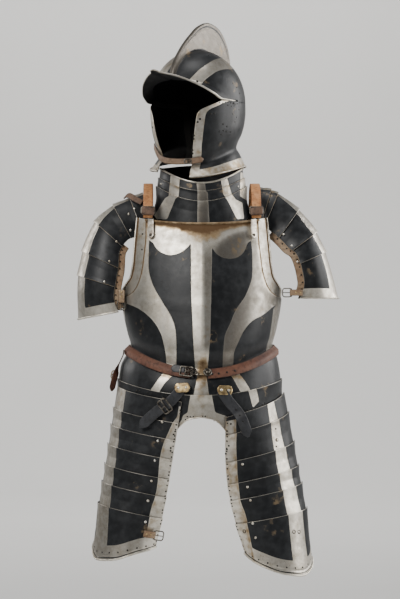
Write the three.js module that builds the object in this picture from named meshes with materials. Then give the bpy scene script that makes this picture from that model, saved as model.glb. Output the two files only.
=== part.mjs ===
// A black and white half armour (a corselet) as it stands when it is worn, in millimetres, +Z up.
// The front faces -Y and +X is the wearer's left. The origin is on the body's middle plane, at the height
// where the collar rests on the wearer's shoulders.
import * as THREE from "three";

// Driving dimensions of the sheet metal and the leather.
const STEEL = 1.8; // wall of every plate
const CLEAR = 0.35; // free gap between two plates that lie on each other
const NEST = STEEL + CLEAR; // how far one plate lies outside the next
const TUCK = 3.1; // how far a plate with other columns lies inside the one over it
const GUSSET_TUCK = TUCK + 0.12;
const NAPE_TUCK = TUCK + 0.4;
const BACK_WAIST_TUCK = TUCK + 2.4; // the backplate's flange, inside the belt
const BREAST_ROLL = 3.6; // the turn at the neckline stands prouder than the others
const HEM_ROLL = 1.8;
const OVERLAP = 9; // how far a lame runs on under its neighbour
const FLARE = 3.6; // how far the free edge of a lame stands off the one below it
const ROLL = 2.6; // how far a rolled edge stands proud of its plate
const LEATHER = 2.6; // thickness of straps and belt

// Helmet, in its own frame: centre between the ear pivots, facing -Y.
const HELMET = {
  lift: 224, // height of the ear line above the shoulders
  aside: -10,
  back: 6,
  turn: -33, // degrees towards the wearer's right
  centreY: 5,
  halfWidth: 100,
  halfLength: 116,
  crown: 117,
  browAngle: 22, // the brow, in degrees above the horizontal
  combRoot: 8,
  combEdge: 3.2,
  combBead: 1.4,
  combLeast: 3,
  poleAngle: 1.5,
};

// How far the comb's edge lies from the skull's centre, by degrees round from the front.
const COMB = [
  { turn: 22, reach: 120 },
  { turn: 30, reach: 125 },
  { turn: 47, reach: 130 },
  { turn: 60, reach: 136 },
  { turn: 77, reach: 151 },
  { turn: 91, reach: 172 },
  { turn: 103, reach: 187 },
  { turn: 115, reach: 191 },
  { turn: 125, reach: 186 },
  { turn: 136, reach: 174 },
  { turn: 145, reach: 160 },
  { turn: 160, reach: 137 },
  { turn: 180, reach: 120 },
];

// The peak's outer edge, by the angle round the skull's section: 0 at the ear, 90 at the middle.
const PEAK = [
  { angle: 0, x: 100, y: 1, z: 0.2 },
  { angle: 22, x: 95, y: -48, z: 0 },
  { angle: 38, x: 91, y: -74, z: 10 },
  { angle: 56, x: 72, y: -108, z: 28 },
  { angle: 74, x: 36, y: -146, z: 46 },
  { angle: 90, x: 0, y: -176, z: 55 },
];

// The cheekpieces and the nape, down from the ear line: ellipses, and where the face opening's edge is.
const CHEEK = [
  { front: -0.6, rear: -0.6, half: 100, length: 116, edge: 67 },
  { front: -12, rear: -9, half: 100, length: 117, edge: 53 },
  { front: -30, rear: -22, half: 99.5, length: 118, edge: 36.5 },
  { front: -66, rear: -46, half: 97, length: 114, edge: 32.5 },
  { front: -100, rear: -68, half: 91, length: 107, edge: 30 },
  { front: -126, rear: -86, half: 83, length: 98, edge: 28.5 },
  { front: -140, rear: -97, half: 80, length: 96, edge: 27.8 },
  { front: -152, rear: -110, half: 86, length: 106, edge: 27.4 },
  { front: -170, rear: -139.4, half: 99, length: 121, edge: 27 },
];
const CHEEK_TURN = [28, 125];
const CHEEK_LIFT = 0.05; // the right cheekpiece hangs this share higher than the middle, the left one lower
const CHIN = [
  { turn: -62, z: -92, half: 92.5, length: 109 },
  { turn: -47, z: -105, half: 88.5, length: 104 },
  { turn: -30, z: -122, half: 85.5, length: 102 },
  { turn: -10, z: -131, half: 85, length: 104 },
  { turn: 10, z: -134, half: 85, length: 104 },
  { turn: 28, z: -133, half: 85, length: 102 },
  { turn: 46, z: -128, half: 85.3, length: 100.9 },
];
const CHEEK_REAR = 128; // degrees from the front, where each cheekpiece ends
const NAPE_FROM = 129.6; // and where the nape begins
const NAPE_LAP = 7; // how far the nape runs up inside the skull

// Collar and gorget: heights at the front, the sides and the rear, and the half axes of each ring.
// climb is the power of the sine by which a ring rises from the front to the sides.
const GORGET = [
  { front: 46, side: 81, rear: 92, half: 90.5, depth: 88, back: 86, climb: 2 },
  { front: 25, side: 58, rear: 72, half: 93, depth: 90, back: 87, climb: 2 },
  { front: 3, side: 40, rear: 54, half: 97.5, depth: 94, back: 90, climb: 2 },
  { front: -22, side: 10, rear: 28, half: 100, depth: 98, back: 94, climb: 2 },
  { front: -58, side: -17, rear: 2, half: 108, depth: 101, back: 94.7, climb: 5 },
];

// Torso sections from the neckline to the waist flange. Angles run from the front middle line.
const TORSO = [
  {
    name: "neck", front: -43, side: -27, rear: 6, half: 160, depth: 110, back: 100,
    ridge: 4, gusset: 49, armhole: 64, rearEdge: 60,
  },
  {
    name: "collar", front: -66, side: -55, rear: -25, half: 165, depth: 118, back: 107,
    ridge: 6, gusset: 47, armhole: 62.5, rearEdge: 59,
  },
  {
    name: "upper", front: -92, side: -82, rear: -60, half: 169, depth: 128, back: 113,
    ridge: 8, gusset: 46, armhole: 61.5, rearEdge: 58,
  },
  {
    name: "chest", front: -135, side: -120, rear: -100, half: 174, depth: 139, back: 118,
    ridge: 10, gusset: 46.5, armhole: 60.5, rearEdge: 58,
  },
  {
    name: "breast", front: -172, side: -152, rear: -140, half: 176, depth: 147, back: 118,
    ridge: 11, gusset: 49, armhole: 63, rearEdge: 61,
  },
  {
    name: "arm", front: -200, side: -176, rear: -170, half: 177, depth: 152, back: 115,
    ridge: 11, gusset: 54, armhole: 74, rearEdge: 69,
  },
  {
    name: "pit", front: -222, side: -193, rear: -190, half: 177, depth: 156, back: 112,
    ridge: 12, gusset: 64, armhole: 90, rearEdge: 78,
  },
  {
    name: "underarm", front: -242, side: -209, rear: -208, half: 176, depth: 159, back: 108,
    ridge: 12, gusset: 86, armhole: 97, rearEdge: 82,
  },
  {
    name: "ribs", front: -275, side: -238, rear: -240, half: 172, depth: 164, back: 103,
    ridge: 12, gusset: 97, armhole: 97, rearEdge: 87,
  },
  {
    name: "belly", front: -315, side: -280, rear: -285, half: 163, depth: 168, back: 94,
    ridge: 11, gusset: 97, armhole: 97, rearEdge: 90,
  },
  {
    name: "waist", front: -353, side: -306, rear: -314, half: 156, depth: 150, back: 88,
    ridge: 6, gusset: 97, armhole: 97, rearEdge: 90,
  },
  {
    name: "flange", front: -368, side: -319, rear: -327, half: 166, depth: 158, back: 98,
    ridge: 5, gusset: 97, armhole: 97, rearEdge: 90,
  },
];
const WAIST_ROW = 10 / 11;
const UNDERARM_ROW = 7 / 11;
const KEEL_SPREAD = 30; // degrees each side of the front over which the ridge fades
const SKIRT_RIDGE = 5;
const GUSSET_LAP = 4; // degrees that each gusset runs on under the breastplate
const BELT_TOP = WAIST_ROW + 0.014;
const BELT_STAND_OFF = LEATHER + 1.2;
const BELT_HANG = 8; // how far the belt's lower edge lies below the flange
const BELT_TURN = [3, 351.5]; // the belt's two ends, in degrees from the front
const BELT_BUCKLE = -11; // degrees from the front, towards the wearer's right

// The skirt below the waist (the fauld), under the flange, and the arch of its hem by angle from the front.
const SKIRT = [
  { front: -369, side: -321, half: 161, depth: 154 },
  { front: -390, side: -350, half: 173, depth: 161 },
  { front: -411, side: -382, half: 178, depth: 164 },
  { front: -440, side: -410, half: 181, depth: 164.5 },
  { front: -508, side: -446, half: 184, depth: 164 },
];
const SEAM_ROW = 0.5;
const SKIRT_ASIDE = -4; // the skirt hangs a little to the wearer's right
const HEM = [
  { angle: 0, z: -473 },
  { angle: 8, z: -477 },
  { angle: 14, z: -488 },
  { angle: 19, z: -502 },
  { angle: 25, z: -508 },
  { angle: 45, z: -490 },
  { angle: 70, z: -455 },
  { angle: 97, z: -436 },
];

// Leg defences (tassets): sheets that hang from the skirt and close round the thigh.
const TASSETS = [
  {
    name: "right", side: -1, from: 13, to: 79, topHalf: 187, topDepth: 172.5, topInner: -425, topOuter: -396,
    thighX: 161, thighY: -80, thighZ: -738, radius: 77, tilt: 11.5, wrapFrom: -54, wrapTo: 108, length: 335,
    edges: [0, 0.139, 0.25, 0.377, 0.507, 0.624, 0.765, 1],
    bulge: 2,
    rim: [[0, -12], [0.25, 8], [0.5, 33], [0.72, 41], [0.89, 23], [1, 10]],
  },
  {
    name: "left", side: 1, from: 14.5, to: 80, topHalf: 183, topDepth: 171.4, topInner: -458, topOuter: -410,
    thighX: 162, thighY: -80, thighZ: -740, radius: 77.5, tilt: 9.5, wrapFrom: -68, wrapTo: 96, length: 320,
    edges: [0, 0.13, 0.33, 0.49, 0.61, 0.78, 1],
    bulge: 17,
    rim: [[0, 2], [0.25, 32], [0.5, 58], [0.7, 68], [0.85, 60], [1, 40]],
  },
];

// Shoulder defences (spaudlers): each lame's length along the outline and its slope below the horizontal.
const SPAUDLERS = [
  {
    name: "right", side: -1, start: [130, 28],
    lames: [[31, 22], [40, 25], [55, 43], [70, 69], [54, 80], [98, 92]],
    droop: [0.2, 0.08, 0.2, 0.22, 0.2, -0.16],
    deep: [72, 66, 62, 70, 69, 76],
    wide: [49.6, 50, 60, 70, 72, 68],
    leather: [112, 4],
  },
  {
    name: "left", side: 1, start: [129, 40],
    lames: [[25, 14], [17, 27], [58, 38], [64, 52], [48, 67], [107, 75.5]],
    droop: [0.3, 0.3, 0.3, 0.1, 0.05, -0.26],
    deep: [56, 54, 54, 52, 56, 78],
    wide: [44, 47, 60, 70, 72, 68],
    leather: [70, 4],
  },
];
const SPAUDLER_FRONT = 101;
const SPAUDLER_REAR = 97;
const SHOULDER_Y = 2;
const LEATHER_BEHIND = 3.2; // how far the leathers lie behind the lames' front edges

// Straps that hold the tassets: each middle line seen from the front, and how far it stands off the plates.
const TASSET_STRAPS = [
  {
    name: "right",
    side: [0.5, 0, -0.86],
    points: [
      { x: -45, z: -396, off: 5.4 },
      { x: -56, z: -410, off: 8.6 },
      { x: -68, z: -423, off: 9.5 },
      { x: -80, z: -433, off: 10.5 },
      { x: -97, z: -445, off: 10.5 },
      { x: -114, z: -460, off: 10.5 },
      { x: -134, z: -480, off: 10.5 },
    ],
  },
  {
    name: "left",
    side: [0.86, 0, 0.5],
    points: [
      { x: 38, z: -400, off: 5.9 },
      { x: 48, z: -414, off: 8.3 },
      { x: 59, z: -429, off: 9.5 },
      { x: 72, z: -444, off: 10.5 },
      { x: 83, z: -462, off: 10.5 },
      { x: 90, z: -480, off: 10.5 },
      { x: 97, z: -500, off: 10.5 },
    ],
  },
];
const TASSET_STRAP_WIDTH = 23;
const TASSET_BUCKLE_POINT = 3; // the point of the right strap that its buckle holds
const BUCKLE_STAND_OFF = 3.2; // a buckle's middle, off the middle of its strap

// Straps over the shoulders: y and z along the middle line of each, from the backplate to the breastplate.
const SHOULDER_STRAP = {
  x: 117,
  width: 21,
  points: [
    [82.6, -34], [82, -8], [75, 16], [52, 36], [20, 45], [-12, 45],
    [-44, 36], [-70, 18], [-86, -4], [-91, -20], [-91.4, -32],
  ],
  buckle: { y: -93.4, z: -16, lean: 82 },
  tongue: { x: 111, width: 15, heights: [-34, -40, -50, -62, -76], standOff: 3.3 },
};

// The strap at the right side of the skirt: x and z down its middle line.
const SIDE_STRAP = {
  y: -34,
  width: 15,
  twist: 55, // degrees by which its lower part turns its face to the front
  points: [[-170.2, -318], [-171.4, -328], [-176.5, -340], [-184, -356], [-190.6, -380], [-197, -408]],
};

// Half buckles of straps that aren't fastened, and the distance of a tab's two legs from the frame's bar.
const TAB_REACH = 3.2;
const LOOSE_BAR = 2.6;
const LOOSE_STAND_OFF = 4.3;

const finish = (color, roughness, metalness) =>
  new THREE.MeshStandardMaterial({ color, roughness, metalness });
const BLACK = finish(0x25282b, 0.45, 0.85);
const WHITE = finish(0xb9b3a6, 0.4, 0.95);
const TAN = finish(0xa05f2a, 0.7, 0);
const BROWN = finish(0x4f2a1c, 0.7, 0);
const DARK = finish(0x1c1d20, 0.6, 0);
const IRON = finish(0x6f6a62, 0.45, 0.9);

const radians = THREE.MathUtils.degToRad;
const mix = THREE.MathUtils.lerp;
const power = (value, exponent) => Math.sign(value) * Math.abs(value) ** exponent;
const steps = (count, from = 0, to = 1) =>
  Array.from({ length: count + 1 }, (_, i) => mix(from, to, i / count));

// A smooth curve through the rows of a table that never overshoots them.
// Rows are evenly spaced unless key names the column that places them.
function read(rows, column, at, key) {
  const xs = rows.map((row, i) => (key ? row[key] : i / (rows.length - 1)));
  const ys = rows.map((row) => row[column]);
  const last = rows.length - 1;
  const x = THREE.MathUtils.clamp(at, Math.min(xs[0], xs[last]), Math.max(xs[0], xs[last]));
  const rising = xs[last] > xs[0];
  let i = 0;
  while (i < last - 1 && (rising ? x > xs[i + 1] : x < xs[i + 1])) i += 1;
  const slope = (k) => (ys[k + 1] - ys[k]) / (xs[k + 1] - xs[k]);
  const tangent = (k) => {
    if (k === 0) return slope(0);
    if (k === last) return slope(last - 1);
    const [before, after] = [slope(k - 1), slope(k)];
    return before * after <= 0 ? 0 : (2 * before * after) / (before + after);
  };
  const width = xs[i + 1] - xs[i];
  const t = (x - xs[i]) / width;
  return (
    ys[i] * (1 + 2 * t) * (1 - t) ** 2 +
    ys[i + 1] * t * t * (3 - 2 * t) +
    width * (tangent(i) * t * (1 - t) ** 2 + tangent(i + 1) * t * t * (t - 1))
  );
}

// Turns points and triangles into a mesh whose faces point outwards.
function solid(name, material, points, index) {
  const position = new Float32Array(points.flatMap((p) => [p.x, p.y, p.z]));
  let volume = 0;
  for (let i = 0; i < index.length; i += 3) {
    const [a, b, c] = [points[index[i]], points[index[i + 1]], points[index[i + 2]]];
    volume += a.dot(new THREE.Vector3().crossVectors(b, c));
  }
  if (volume < 0)
    for (let i = 0; i < index.length; i += 3) [index[i + 1], index[i + 2]] = [index[i + 2], index[i + 1]];
  const geometry = new THREE.BufferGeometry();
  geometry.setAttribute("position", new THREE.BufferAttribute(position, 3));
  geometry.setIndex(index);
  geometry.computeVertexNormals();
  const mesh = new THREE.Mesh(geometry, material);
  mesh.name = name;
  return mesh;
}

// A plate of sheet metal: a surface at(u, v) with a wall behind it. across and along are its columns and
// rows, and core is a point behind it. raise moves the plate out, and lift thickens it, as at a rolled edge.
function plate(name, material, {
  at, across, along, core, wall = STEEL, lift = () => 0, raise = () => 0, closed = false,
}) {
  const h = 1e-3;
  const normal = (u, v) => {
    const [u0, u1] = closed ? [u - h, u + h] : [Math.max(across[0], u - h), Math.min(across.at(-1), u + h)];
    const [v0, v1] = [Math.max(along[0], v - h), Math.min(along.at(-1), v + h)];
    return new THREE.Vector3()
      .crossVectors(at(u1, v).sub(at(u0, v)), at(u, v1).sub(at(u, v0)))
      .normalize();
  };
  const [um, vm] = [across[across.length >> 1] + h, along[along.length >> 1]];
  const facing = Math.sign(normal(um, vm).dot(at(um, vm).sub(core)));
  const columns = closed ? across.slice(0, -1) : across;
  const outer = [];
  const inner = [];
  for (const v of along)
    for (const u of columns) {
      const n = normal(u, v).multiplyScalar(facing);
      const p = at(u, v).addScaledVector(n, raise(u, v));
      outer.push(p.clone().addScaledVector(n, lift(u, v)));
      inner.push(p.clone().addScaledVector(n, -wall));
    }
  const points = [...outer, ...inner];
  const [n, m, half] = [columns.length, along.length, outer.length];
  const index = [];
  const quad = (a, b, c, d) => index.push(a, b, c, a, c, d);
  const spans = closed ? n : n - 1;
  for (let i = 0; i + 1 < m; i += 1)
    for (let j = 0; j < spans; j += 1) {
      const k = (j + 1) % n;
      const [a, b, c, d] = [i * n + j, i * n + k, (i + 1) * n + k, (i + 1) * n + j];
      quad(a, b, c, d);
      quad(half + d, half + c, half + b, half + a);
    }
  for (let j = 0; j < spans; j += 1) {
    const k = (j + 1) % n;
    quad(half + j, half + k, k, j);
    const row = (m - 1) * n;
    quad(row + j, row + k, half + row + k, half + row + j);
  }
  if (!closed)
    for (let i = 0; i + 1 < m; i += 1) {
      const [a, b] = [i * n, (i + 1) * n];
      quad(a, b, half + b, half + a);
      quad(half + a + n - 1, half + b + n - 1, b + n - 1, a + n - 1);
    }
  return solid(name, material, points, index);
}

// A flat strap along a path. Its width runs along side, and its thickness across both.
function strap(name, material, path, side, width, thick) {
  const points = [];
  path.forEach((p, i) => {
    const ahead = path[Math.min(i + 1, path.length - 1)].clone().sub(path[Math.max(i - 1, 0)]).normalize();
    const given = typeof side === "function" ? side(i / (path.length - 1)) : side;
    const out = new THREE.Vector3().crossVectors(ahead, given).normalize();
    const over = new THREE.Vector3().crossVectors(out, ahead);
    for (const [a, b] of [[-1, -1], [1, -1], [1, 1], [-1, 1]])
      points.push(p.clone().addScaledVector(over, (a * width) / 2).addScaledVector(out, (b * thick) / 2));
  });
  const index = [];
  const quad = (a, b, c, d) => index.push(a, b, c, a, c, d);
  for (let i = 0; i + 1 < path.length; i += 1)
    for (let j = 0; j < 4; j += 1) {
      const k = (j + 1) % 4;
      quad(4 * i + j, 4 * i + k, 4 * i + 4 + k, 4 * i + 4 + j);
    }
  const end = 4 * (path.length - 1);
  quad(3, 2, 1, 0);
  quad(end, end + 1, end + 2, end + 3);
  return solid(name, material, points, index);
}

// A flat frame, such as a buckle's, in the plane of its own X and Y: cut corners, and a window.
function frame(name, material, width, height, bar, thick) {
  const outline = (w, h, cut) => [
    [w - cut, -h], [w, cut - h], [w, h - cut], [w - cut, h],
    [cut - w, h], [-w, h - cut], [-w, cut - h], [cut - w, -h],
  ];
  const outer = outline(width / 2, height / 2, bar);
  const inner = outline(width / 2 - bar, height / 2 - bar, bar / 3);
  const points = outer.flatMap(([x, y], i) => [
    vector(x, y, thick / 2), vector(x, y, -thick / 2),
    vector(inner[i][0], inner[i][1], -thick / 2), vector(inner[i][0], inner[i][1], thick / 2),
  ]);
  const index = [];
  for (let i = 0; i < 8; i += 1)
    for (let j = 0; j < 4; j += 1) {
      const [a, b] = [4 * i + j, 4 * i + ((j + 1) % 4)];
      const [c, d] = [4 * ((i + 1) % 8) + ((j + 1) % 4), 4 * ((i + 1) % 8) + j];
      index.push(a, b, c, a, c, d);
    }
  return solid(name, material, points, index);
}

const vector = (x, y, z) => new THREE.Vector3(x, y, z);

// Torso surface: row 0 is the neckline and 1 the waist flange; degrees run from the front, positive to +X.
function torso(row, degrees, inset = 0) {
  const [s, c] = [Math.sin(radians(degrees)), Math.cos(radians(degrees))];
  const half = read(TORSO, "half", row) - inset;
  const ahead = c >= 0;
  const depth = read(TORSO, ahead ? "depth" : "back", row) - inset;
  const fromRidge = Math.abs(((degrees + 180) % 360) - 180);
  const keel = read(TORSO, "ridge", row) * Math.max(0, 1 - fromRidge / KEEL_SPREAD) ** 1.5;
  const level = read(TORSO, ahead ? "front" : "rear", row);
  const z = level + (read(TORSO, "side", row) - level) * s * s;
  return vector(half * power(s, 0.95), -depth * power(c, 0.92) - keel, z);
}

// Skirt surface below the flange: row 0 is the flange, 1 the lowest hem.
function skirt(row, degrees) {
  const [s, c] = [Math.sin(radians(degrees)), Math.cos(radians(degrees))];
  const level = read(SKIRT, "front", row);
  const z = level + (read(SKIRT, "side", row) - level) * s * s;
  const keel = SKIRT_RIDGE * Math.max(0, 1 - Math.abs(degrees) / KEEL_SPREAD) ** 1.5;
  const aside = SKIRT_ASIDE * THREE.MathUtils.smoothstep(row, 0, 0.3);
  const half = read(SKIRT, "half", row);
  const depth = read(SKIRT, "depth", row);
  return vector(aside + half * power(s, 0.95), -depth * power(c, 0.92) - keel, z);
}

// A ring of the gorget: row 0 is the rim, 1 the foot under the breastplate.
function gorget(row, degrees, inset = 0) {
  const [s, c] = [Math.sin(radians(degrees)), Math.cos(radians(degrees))];
  const level = read(GORGET, c >= 0 ? "front" : "rear", row);
  const z = level + (read(GORGET, "side", row) - level) * Math.abs(s) ** read(GORGET, "climb", row);
  const depth = read(GORGET, c >= 0 ? "depth" : "back", row);
  return vector((read(GORGET, "half", row) - inset) * s, -(depth - inset) * c, z);
}

// Skull of the helmet: across runs from the right ear (-1) over the comb (0) to the left ear (1).
// sweep runs from the peak's edge (-1) to the brow (0) and over the crown to the nape (1).
const COMB_SHARE = 0.16;
function skull(across, sweep) {
  const share = Math.abs(across);
  const side = Math.sign(across) || 1;
  const sweepAngle = radians(mix(HELMET.browAngle, 180, Math.max(0, sweep)));
  const [dy, dz] = [-Math.cos(sweepAngle), Math.sin(sweepAngle)];
  const dome = 1 / Math.hypot(dy / HELMET.halfLength, dz / HELMET.crown);
  const turn = THREE.MathUtils.radToDeg(sweepAngle);
  const comb = Math.max(HELMET.combLeast, read(COMB, "reach", turn, "turn") - dome);
  const rootAngle = Math.acos(HELMET.combRoot / HELMET.halfWidth);
  let x;
  let radius;
  let angle = 90;
  if (share >= COMB_SHARE) {
    const t = mix(radians(HELMET.poleAngle), rootAngle, (1 - share) / (1 - COMB_SHARE));
    x = HELMET.halfWidth * Math.cos(t);
    radius = dome * Math.sin(t);
    angle = THREE.MathUtils.radToDeg(t);
  } else {
    const rise = 1 - share / COMB_SHARE;
    const bead = Math.min(HELMET.combBead, 0.12 * comb) * THREE.MathUtils.smoothstep(rise, 0.6, 0.8);
    const flat = THREE.MathUtils.smoothstep(rise, 0.82, 1);
    const blade = mix(HELMET.combRoot, HELMET.combEdge, Math.min(1, rise / 0.6) ** 0.7);
    x = (blade + bead) * (1 - flat);
    radius = dome * Math.sin(rootAngle) + comb * Math.min(1, rise / 0.86);
  }
  const brow = vector(side * x, HELMET.centreY + radius * dy, radius * dz);
  if (sweep >= 0) return brow;
  const edge = vector(
    side * (share >= COMB_SHARE ? read(PEAK, "x", angle, "angle") : x),
    read(PEAK, "y", angle, "angle"),
    read(PEAK, "z", angle, "angle") + (share >= COMB_SHARE ? 0 : 2 * (1 - share / COMB_SHARE)),
  );
  return brow.lerp(edge, -sweep);
}

// Side and rear of the helmet below the ear line, by depth (0 to 1) and angle from the front.
function cheek(depth, degrees, inset = 0) {
  const half = read(CHEEK, "half", depth) - inset;
  const length = read(CHEEK, "length", depth) - inset;
  const [s, c] = [Math.sin(radians(degrees)), Math.cos(radians(degrees))];
  const round = THREE.MathUtils.smoothstep(Math.abs(degrees > 180 ? degrees - 360 : degrees), ...CHEEK_TURN);
  const z = mix(read(CHEEK, "front", depth), read(CHEEK, "rear", depth), round);
  const lean = THREE.MathUtils.clamp(2.1 * s, -1, 1);
  return vector(half * s, HELMET.centreY - length * c, z * (1 - CHEEK_LIFT + CHEEK_LIFT * lean));
}

// Outline of a spaudler, seen from the front: where its crest is and which way its surface faces.
function crestOf({ start, lames }) {
  const total = lames.reduce((sum, [length]) => sum + length, 0);
  const knots = [];
  let reached = 0;
  for (const [length, slope] of lames) {
    knots.push({ at: reached + length / 2, slope });
    reached += length;
  }
  const points = [];
  const count = 160;
  const step = (total + 2 * OVERLAP) / count;
  let [out, up] = start;
  for (let i = 0; i <= count; i += 1) {
    const slope = radians(read(knots, "slope", i * step, "at"));
    points.push({ out, up, slope });
    out += step * Math.cos(slope);
    up -= step * Math.sin(slope);
  }
  const sample = (distance) => {
    const exact = THREE.MathUtils.clamp(distance / step, 0, count - 1e-6);
    const [a, b] = [points[Math.floor(exact)], points[Math.floor(exact) + 1]];
    const t = exact % 1;
    return { out: mix(a.out, b.out, t), up: mix(a.up, b.up, t), slope: mix(a.slope, b.slope, t) };
  };
  return { sample, total };
}

function spaudlerSurface(design) {
  const { sample, total } = crestOf(design);
  const section = design.wide.map((wide, i) => ({ wide, deep: design.deep[i], droop: design.droop[i] }));
  return (distance, degrees) => {
    const { out, up, slope } = sample(distance);
    const share = THREE.MathUtils.clamp(distance / total, 0, 1);
    const inward = read(section, "deep", share) * (1 - Math.cos(radians(degrees)));
    return vector(
      design.side * (out - Math.sin(slope) * inward),
      SHOULDER_Y - read(section, "wide", share) * Math.sin(radians(degrees)),
      up - (Math.cos(slope) + read(section, "droop", share)) * inward,
    );
  };
}

// Surface of a tasset: share 0 is its top edge and 1 the thigh ring; t runs from the inner edge to the outer.
function tassetSurface(design) {
  const tilt = radians(design.tilt);
  const rim = design.rim.map(([at, drop]) => ({ at, drop }));
  return (share, t) => {
    const top = radians(mix(design.from, design.to, t));
    const topX = design.topHalf * Math.sin(top) ** 0.95;
    const topY = -design.topDepth * Math.cos(top) ** 0.92;
    const topZ = mix(design.topInner, design.topOuter, t);
    const round = radians(mix(design.wrapFrom, design.wrapTo, t));
    const reach = design.radius * Math.sin(round);
    const lowX = design.thighX + Math.cos(tilt) * reach;
    const lowY = design.thighY - design.radius * Math.cos(round);
    const lowZ = design.thighZ + Math.sin(tilt) * reach;
    const last = design.edges.at(-2);
    const drop = Math.max(0, (share - last) / (1 - last)) * read(rim, "drop", t, "at");
    const ease = Math.min(1, Math.max(0, share)) ** 1.55;
    const swell = design.bulge * (1 - t) ** 2 * Math.sin(Math.PI * Math.min(1, Math.max(0, share)));
    return vector(
      design.side * (mix(topX, lowX, share) - swell),
      mix(topY, lowY, ease),
      mix(topZ, lowZ, share) - drop,
    );
  };
}

const armour = new THREE.Group();
const head = new THREE.Group();
armour.add(head);
const MIDDLE = vector(0, 0, -180);
const WAIST_MIDDLE = vector(0, 0, -400);

function helmet() {
  const combRises = [0.4, 0.62, 0.8];
  const across = [...steps(8, -1, -COMB_SHARE), ...combRises.map((r) => -COMB_SHARE * (1 - r)), 0];
  const both = [...across, ...across.slice(0, -1).reverse().map((u) => -u)];
  const sweep = [-1, -0.93, -0.5, 0, ...steps(12).slice(1)];
  const rolled = (u, v) => (v < -0.9 ? ROLL * Math.min(1, 6 * (1 - Math.abs(u))) : 0);
  const core = vector(0, HELMET.centreY, 20);
  head.add(plate("helmet_skull", BLACK, { at: skull, across: both, along: sweep, core, lift: rolled }));
  const heights = steps(10);
  const rim = (u, v) => (v > 0.97 ? ROLL : 0);
  for (const [name, side] of [["right", -1], ["left", 1]])
    head.add(
      plate("helmet_cheek_" + name, BLACK, {
        at: (u, v) => cheek(v, side * mix(read(CHEEK, "edge", v), CHEEK_REAR, u)),
        across: steps(8),
        along: [...heights.slice(0, -1), 0.96, 0.975, 1],
        core: vector(0, HELMET.centreY, -60),
        lift: rim,
      }),
    );
  head.add(
    plate("helmet_nape", BLACK, {
      at: (u, v) => {
        const degrees = mix(NAPE_FROM, 360 - NAPE_FROM, u);
        if (v < 0) return cheek(0, degrees, NAPE_TUCK).add(vector(0, 0, NAPE_LAP * -v));
        return cheek(v, degrees, NAPE_TUCK * Math.max(0, 1 - 6 * v));
      },
      across: steps(10),
      along: [-1, 0, 0.17, 0.4, 0.6, 0.75, 0.88, 0.96, 0.975, 1],
      core: vector(0, HELMET.centreY, -60),
      lift: rim,
    }),
  );
  const chin = steps(14, -60, 44).map((degrees) => {
    const [half, length, z] = ["half", "length", "z"].map((column) => read(CHIN, column, degrees, "turn"));
    return vector(half * Math.sin(radians(degrees)), HELMET.centreY - length * Math.cos(radians(degrees)), z);
  });
  head.add(strap("chin_strap", BROWN, chin, vector(0, 0, 1), 13, LEATHER));
  head.rotation.z = radians(HELMET.turn);
  head.position.set(HELMET.aside, HELMET.back, HELMET.lift);
}

function collar() {
  const core = vector(0, 0, 30);
  armour.add(
    plate("collar_upper", BLACK, {
      at: (u, v) => gorget(v, 360 * u),
      across: steps(28),
      along: [0, 0.03, 0.05, 0.16, 0.3],
      core,
      closed: true,
      lift: (u, v) => (v < 0.04 ? ROLL : 0),
    }),
    plate("collar_lower", BLACK, {
      at: (u, v) => gorget(v, 360 * u),
      across: steps(28),
      along: [0.23, 0.3, 0.5, 0.56],
      core,
      closed: true,
      raise: (u, v) => (v < 0.25 ? FLARE : v < 0.35 ? NEST : 0),
    }),
  );
  for (const [name, from, to] of [["front", -93, 93], ["back", 94, 266]])
    armour.add(
      plate("gorget_" + name, BLACK, {
        at: (u, v) => gorget(v, mix(from, to, u)),
        across: steps(16),
        along: [0.49, 0.56, 0.72, 0.86, 1],
        core,
        raise: (u, v) => (v < 0.5 ? FLARE : v < 0.6 ? NEST + 0.3 : 0.4),
      }),
    );
}

function torsoPlates() {
  const rows = steps(22);
  armour.add(
    plate("breastplate", BLACK, {
      at: (u, v) => torso(v, mix(-1, 1, u) * read(TORSO, "gusset", v)),
      across: steps(20),
      along: [0, 0.018, 0.03, ...rows.slice(2)],
      core: MIDDLE,
      lift: (u, v) => (v < 0.02 ? BREAST_ROLL : 0),
    }),
    plate("backplate", BLACK, {
      at: (u, v) => {
        const degrees = 180 + mix(-1, 1, u) * read(TORSO, "rearEdge", v);
        return torso(v, degrees, v > 0.85 ? BACK_WAIST_TUCK : TUCK);
      },
      across: steps(18),
      along: [0, 0.018, 0.03, ...steps(11).slice(1)],
      core: MIDDLE,
      lift: (u, v) => (v < 0.02 ? ROLL : 0),
    }),
  );
  for (const [name, side] of [["right", -1], ["left", 1]])
    armour.add(
      plate("gusset_" + name, WHITE, {
        at: (u, v) => {
          const inner = read(TORSO, "gusset", v) - GUSSET_LAP;
          return torso(v, side * mix(inner, read(TORSO, "armhole", v), u), GUSSET_TUCK);
        },
        across: [0, 0.35, 0.7, 0.86, 0.9, 1],
        along: steps(14, 0, UNDERARM_ROW),
        core: MIDDLE,
        lift: (u) => (u > 0.88 ? ROLL : 0),
      }),
    );
}

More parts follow.
